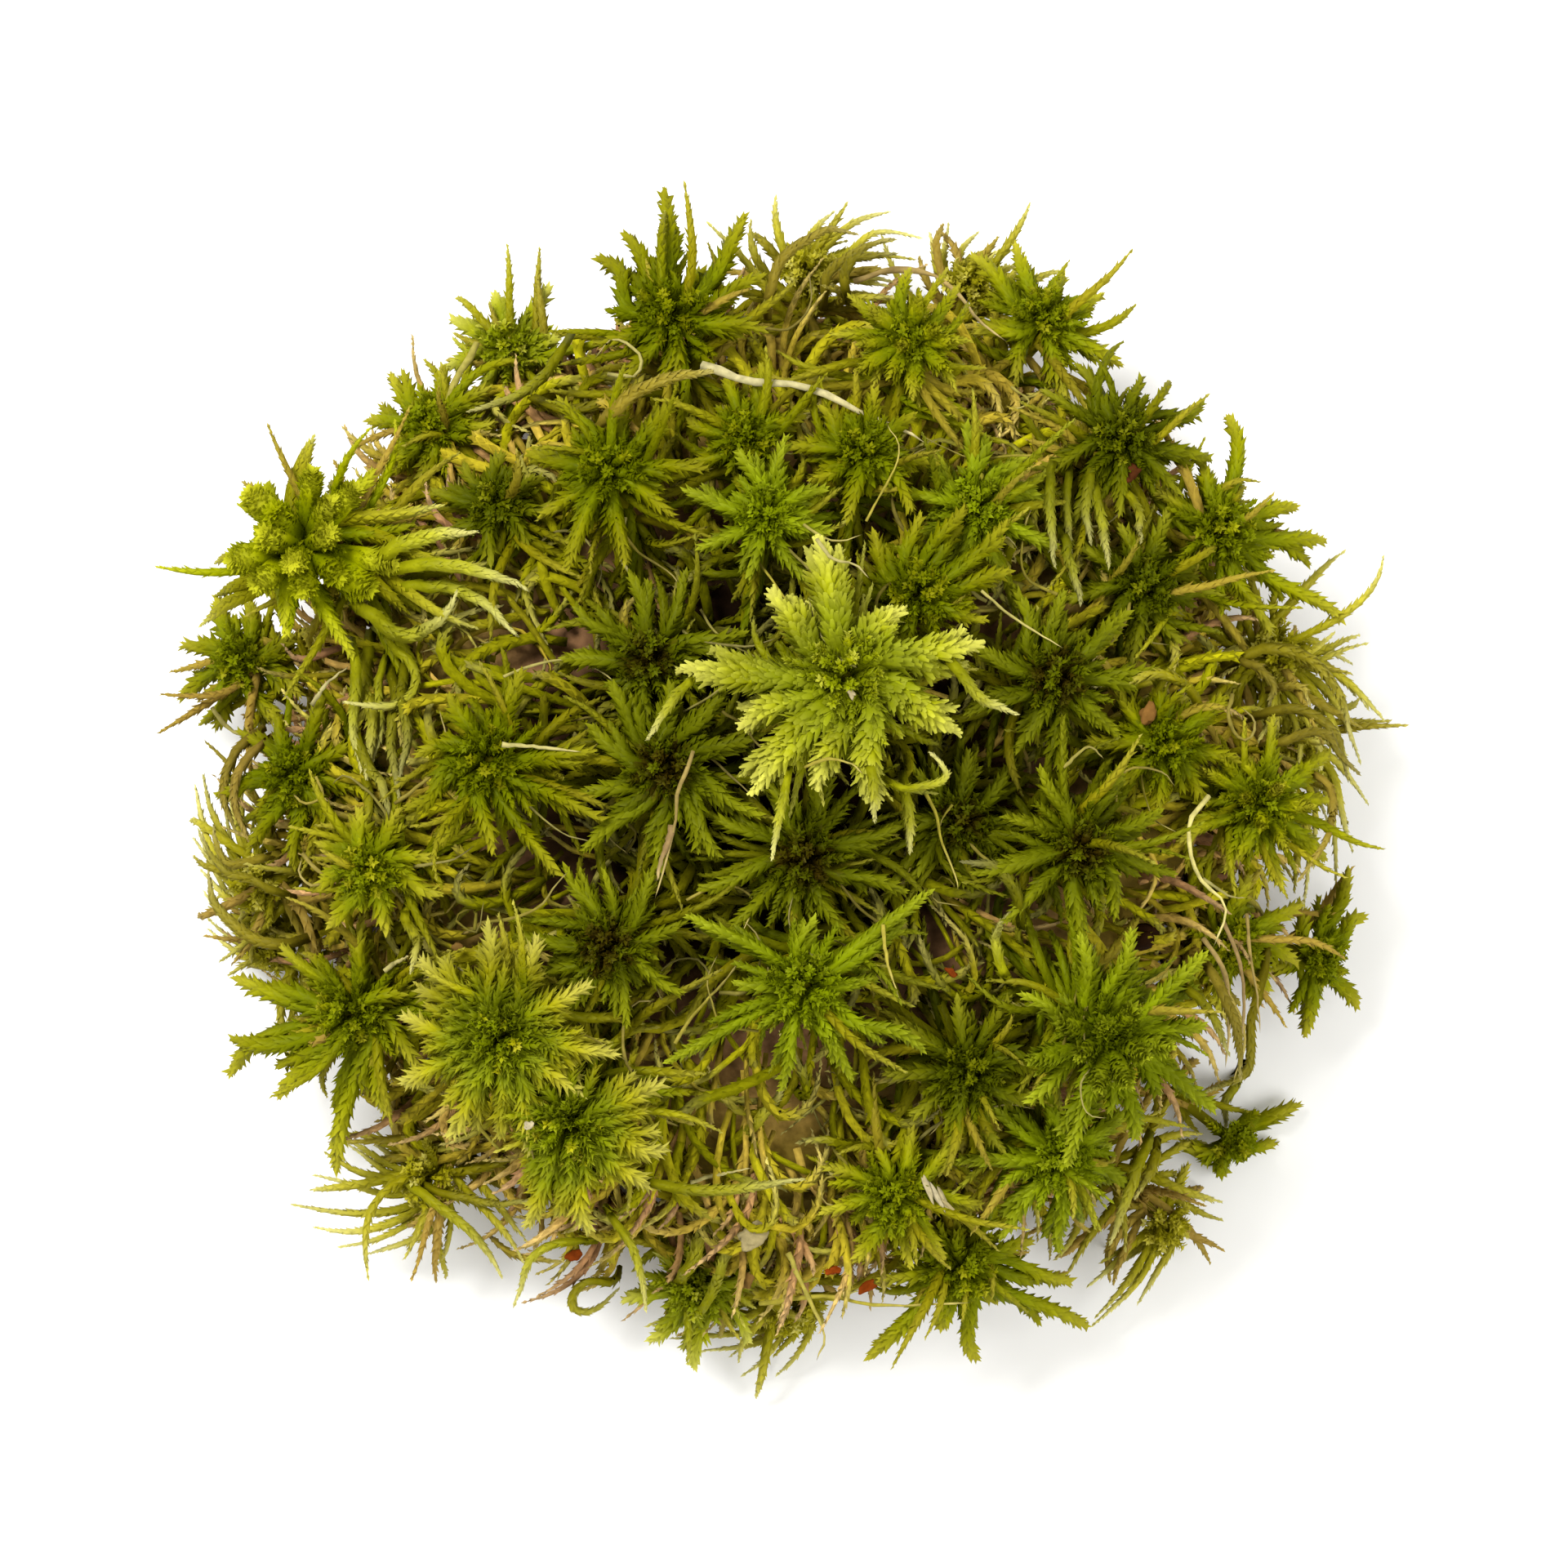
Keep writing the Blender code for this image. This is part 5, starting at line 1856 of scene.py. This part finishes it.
CRUMBS = (
    Crumb((1385, 580), (1.5, 0.9, 0.8), 60, 0.72),
    Crumb((1402, 1150), (1.9, 1.6, 1.3), 30, 0.88),
    Crumb((1405, 875), (1.4, 1.1, 0.7), 80, 0.33),
    Crumb((1040, 850), (0.9, 0.4, 0.3), 120, 0.06),
    Crumb((650, 1375), (0.7, 0.5, 0.4), 20, 0.0),
    Crumb((1136, 1456), (1.8, 0.34, 0.25), 112, 0.04),
    Crumb((1146, 1464), (2.4, 0.4, 0.3), 122, 0.0),
    Crumb((1156, 1470), (2.0, 0.34, 0.25), 116, 0.06),
    Crumb((1164, 1480), (1.4, 0.34, 0.25), 132, 0.1),
    Crumb((922, 1515), (2.4, 1.5, 0.4), 50, 0.1),
    Crumb((1020, 1560), (1.0, 0.6, 0.5), 10, 0.5),
    Crumb((1062, 1582), (1.3, 0.7, 0.5), 30, 0.5),
    Crumb((1165, 1190), (0.9, 0.5, 0.4), 140, 0.55),
    Crumb((700, 1545), (1.1, 0.7, 0.5), 20, 0.55),
    Crumb((915, 1572), (1.2, 0.9, 0.6), 70, 0.3),
    Crumb((560, 1160), (0.8, 0.6, 0.4), 0, 0.3),
)


@dataclass
class Litter:
    """The husks, flakes and crumbs, and the black specks scattered over the clump."""

    relief: Relief
    sunk: float = 0.9  # how deep among the leaf tips a crumb lies, in thicknesses
    crumb_detail: int = 3
    speck_detail: int = 1
    lumps: int = 4
    lump_size: float = 6  # how close together the lumps are
    lump_height: float = 0.12
    roughness: float = 0.03
    cupped: float = 0.25  # how far a crumb's ends turn up
    chance: float = 0.5
    light: float = 0.9
    specks: int = 70
    speck_size: float = 0.14
    speck_sizes: tuple[float, float] = (0.6, 1.5)  # least and most beside that
    strewn: float = 37  # how far out the specks lie
    pile: Pile = field(init=False)

    def __post_init__(self) -> None:
        """Prepares to lay the litter on what has been built."""
        self.pile = Pile("litter")

    def bit(self, spot: Place, size: Array, turn: float, shade: float, detail: int, sunk: float) -> None:
        """Adds one rough lump.

        Args:
            spot: Where it lies, as seen from above.
            size: Its length, width and thickness.
            turn: The way its length runs, in radians.
            shade: Its colour, from 0, white, to 1, black.
            detail: How finely it is faceted.
            sunk: How far below the leaf tips its middle lies.
        """
        rng, stamp = self.pile.rng, Stamp.ball(detail, 0.5)
        waves = (
            np.sin(stamp.corners @ rng.normal(0, self.lump_size, 3) + rng.uniform(0, 6))
            for _ in range(self.lumps))
        swollen = 1 + self.lump_height * sum(waves) + rng.normal(0, self.roughness, len(stamp.corners))
        local = stamp.corners * size * swollen[:, None]
        local[:, 2] += self.cupped * size[0] * (local[:, 0] / size[0]) ** 2
        x, y, z = local.T
        cos, sin = math.cos(turn), math.sin(turn)
        turned = np.stack([x * cos - y * sin, x * sin + y * cos, z], axis=1)
        centre = np.array((*spot, self.relief.table[self.relief.spot(*spot)] - sunk))
        one = np.ones((1, 1))
        self.pile.add(
            (centre + turned)[None], stamp, along=0 * one, leaf=0 * one, chance=self.chance * one,
            age=shade * one, light=self.light * one)

    def build(self, material: bpy.types.Material) -> bpy.types.Object:
        """Makes the litter.

        Args:
            material: Its finish.

        Returns:
            The piece.
        """
        rng = self.pile.rng
        for crumb in CRUMBS:
            spot, size = at_pixel(*crumb.pixel), np.array(crumb.size)
            sunk = self.sunk * crumb.size[2]
            self.bit(spot, size, math.radians(crumb.turn), crumb.shade, self.crumb_detail, sunk)
        for _ in range(self.specks):
            away, turn = self.strewn * math.sqrt(rng.random()), rng.uniform(0, math.tau)
            size = rng.uniform(*self.speck_sizes, 3) * self.speck_size
            spot = (away * math.cos(turn), away * math.sin(turn))
            self.bit(spot, size, turn, 1.0, self.speck_detail, 0.0)
        piece = self.pile.build(material)
        return piece


# The studio


@dataclass
class Studio:
    """A pale floor, soft light from above and the camera that looks straight down.

    Attributes:
        height: The camera's height above the table.
        middle_height: Height at which the frame has its stated width.
        sensor: The width of the camera's sensor.
        floor_size: The width of the floor.
        daylight: The lamps' colour, in linear red, green and blue.
        room: The colour of the light from all round.
        room_strength: How bright that is.
    """

    height: float = 1000.0
    middle_height: float = 25.0
    sensor: float = 36.0
    floor_size: float = 3000.0
    daylight: tuple[float, float, float] = (1.0, 0.98, 0.9)
    room: tuple[float, float, float, float] = (1.0, 0.965, 0.84, 1.0)
    room_strength: float = 0.7

    def camera(self) -> None:
        """Looks down on the clump, with its top edge towards +Y."""
        data = bpy.data.cameras.new("camera")
        data.sensor_width = self.sensor
        data.lens = self.sensor * (self.height - self.middle_height) / (FRAME_PX / PX_PER_MM)
        data.clip_start, data.clip_end = 0.01, 20.0
        camera = bpy.data.objects.new("camera", data)
        x, y = at_pixel(FRAME_PX / 2, FRAME_PX / 2)
        camera.location = (x * MM, y * MM, self.height * MM)
        bpy.context.scene.collection.objects.link(camera)
        bpy.context.scene.camera = camera

    def floor(self) -> None:
        """A table covered in matt white card, which has no shine and is a little cool."""
        bm = bmesh.new()
        bmesh.ops.create_grid(bm, x_segments=1, y_segments=1, size=self.floor_size / 2 * MM)
        mesh = bpy.data.meshes.new("floor")
        bm.to_mesh(mesh)
        bm.free()
        material = bpy.data.materials.new("white_card")
        material.use_nodes = True
        shader = material.node_tree.nodes["Principled BSDF"]
        shader.inputs["Base Color"].default_value = linear("#f1f3fb")
        shader.inputs["Roughness"].default_value = 0.9
        mesh.materials.append(material)
        floor = bpy.data.objects.new("floor", mesh)
        bpy.context.scene.collection.objects.link(floor)

    def lamp(self, name: str, place: tuple[float, float, float], size: float, power: float) -> None:
        """Adds a soft lamp that faces the clump.

        Args:
            name: Its name.
            place: Where it stands, in millimetres.
            size: Its width.
            power: Its power in watts.
        """
        data = bpy.data.lights.new(name, "AREA")
        data.size, data.energy, data.color = size * MM, power, self.daylight
        lamp = bpy.data.objects.new(name, data)
        lamp.location = Vector(place) * MM
        lamp.rotation_euler = (Vector((0, 0, 20)) - Vector(place)).to_track_quat("-Z", "Y").to_euler()
        bpy.context.scene.collection.objects.link(lamp)

    def light(self) -> None:
        """A large lamp above and to the left, a weaker one to the right, and a pale room."""
        self.lamp("key", (-350, 350, 800), 300, 11)
        self.lamp("fill", (500, -200, 700), 500, 5)
        world = bpy.data.worlds.new("room")
        world.use_nodes = True
        backdrop = world.node_tree.nodes["Background"]
        backdrop.inputs["Color"].default_value = self.room
        backdrop.inputs["Strength"].default_value = self.room_strength
        bpy.context.scene.world = world
        bpy.context.scene.view_settings.view_transform = "Standard"

    def build(self) -> None:
        """Sets up everything round the object."""
        self.camera()
        self.floor()
        self.light()


def main() -> None:
    """Builds the clump, piece by piece."""
    logging.basicConfig(level=logging.INFO, format="%(name)s: %(message)s")
    Studio().build()
    mound = Mound(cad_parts["dead_stem_mound"])
    relief = Relief()
    finishes = {tone: tone.value.material() for tone in Tone}
    for name in sorted(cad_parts):
        if name != "dead_stem_mound":
            shoot = Shoot(Plant(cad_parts[name]), mound)
            shoot.build(finishes[shoot.habit.tone])
            relief.note(shoot.pile)
    thatch = Thatch(mound)
    thatch.build(Wood.THATCH.value.material())
    relief.note(thatch.mat)
    relief.settle()
    loose = LooseGrowth(relief)
    loose.branches(finishes[Tone.TRAILING])
    loose.strands(Wood.BLEACHED.value.material())
    Litter(relief).build(Wood.LITTER.value.material())


if __name__ == "__main__":
    main()
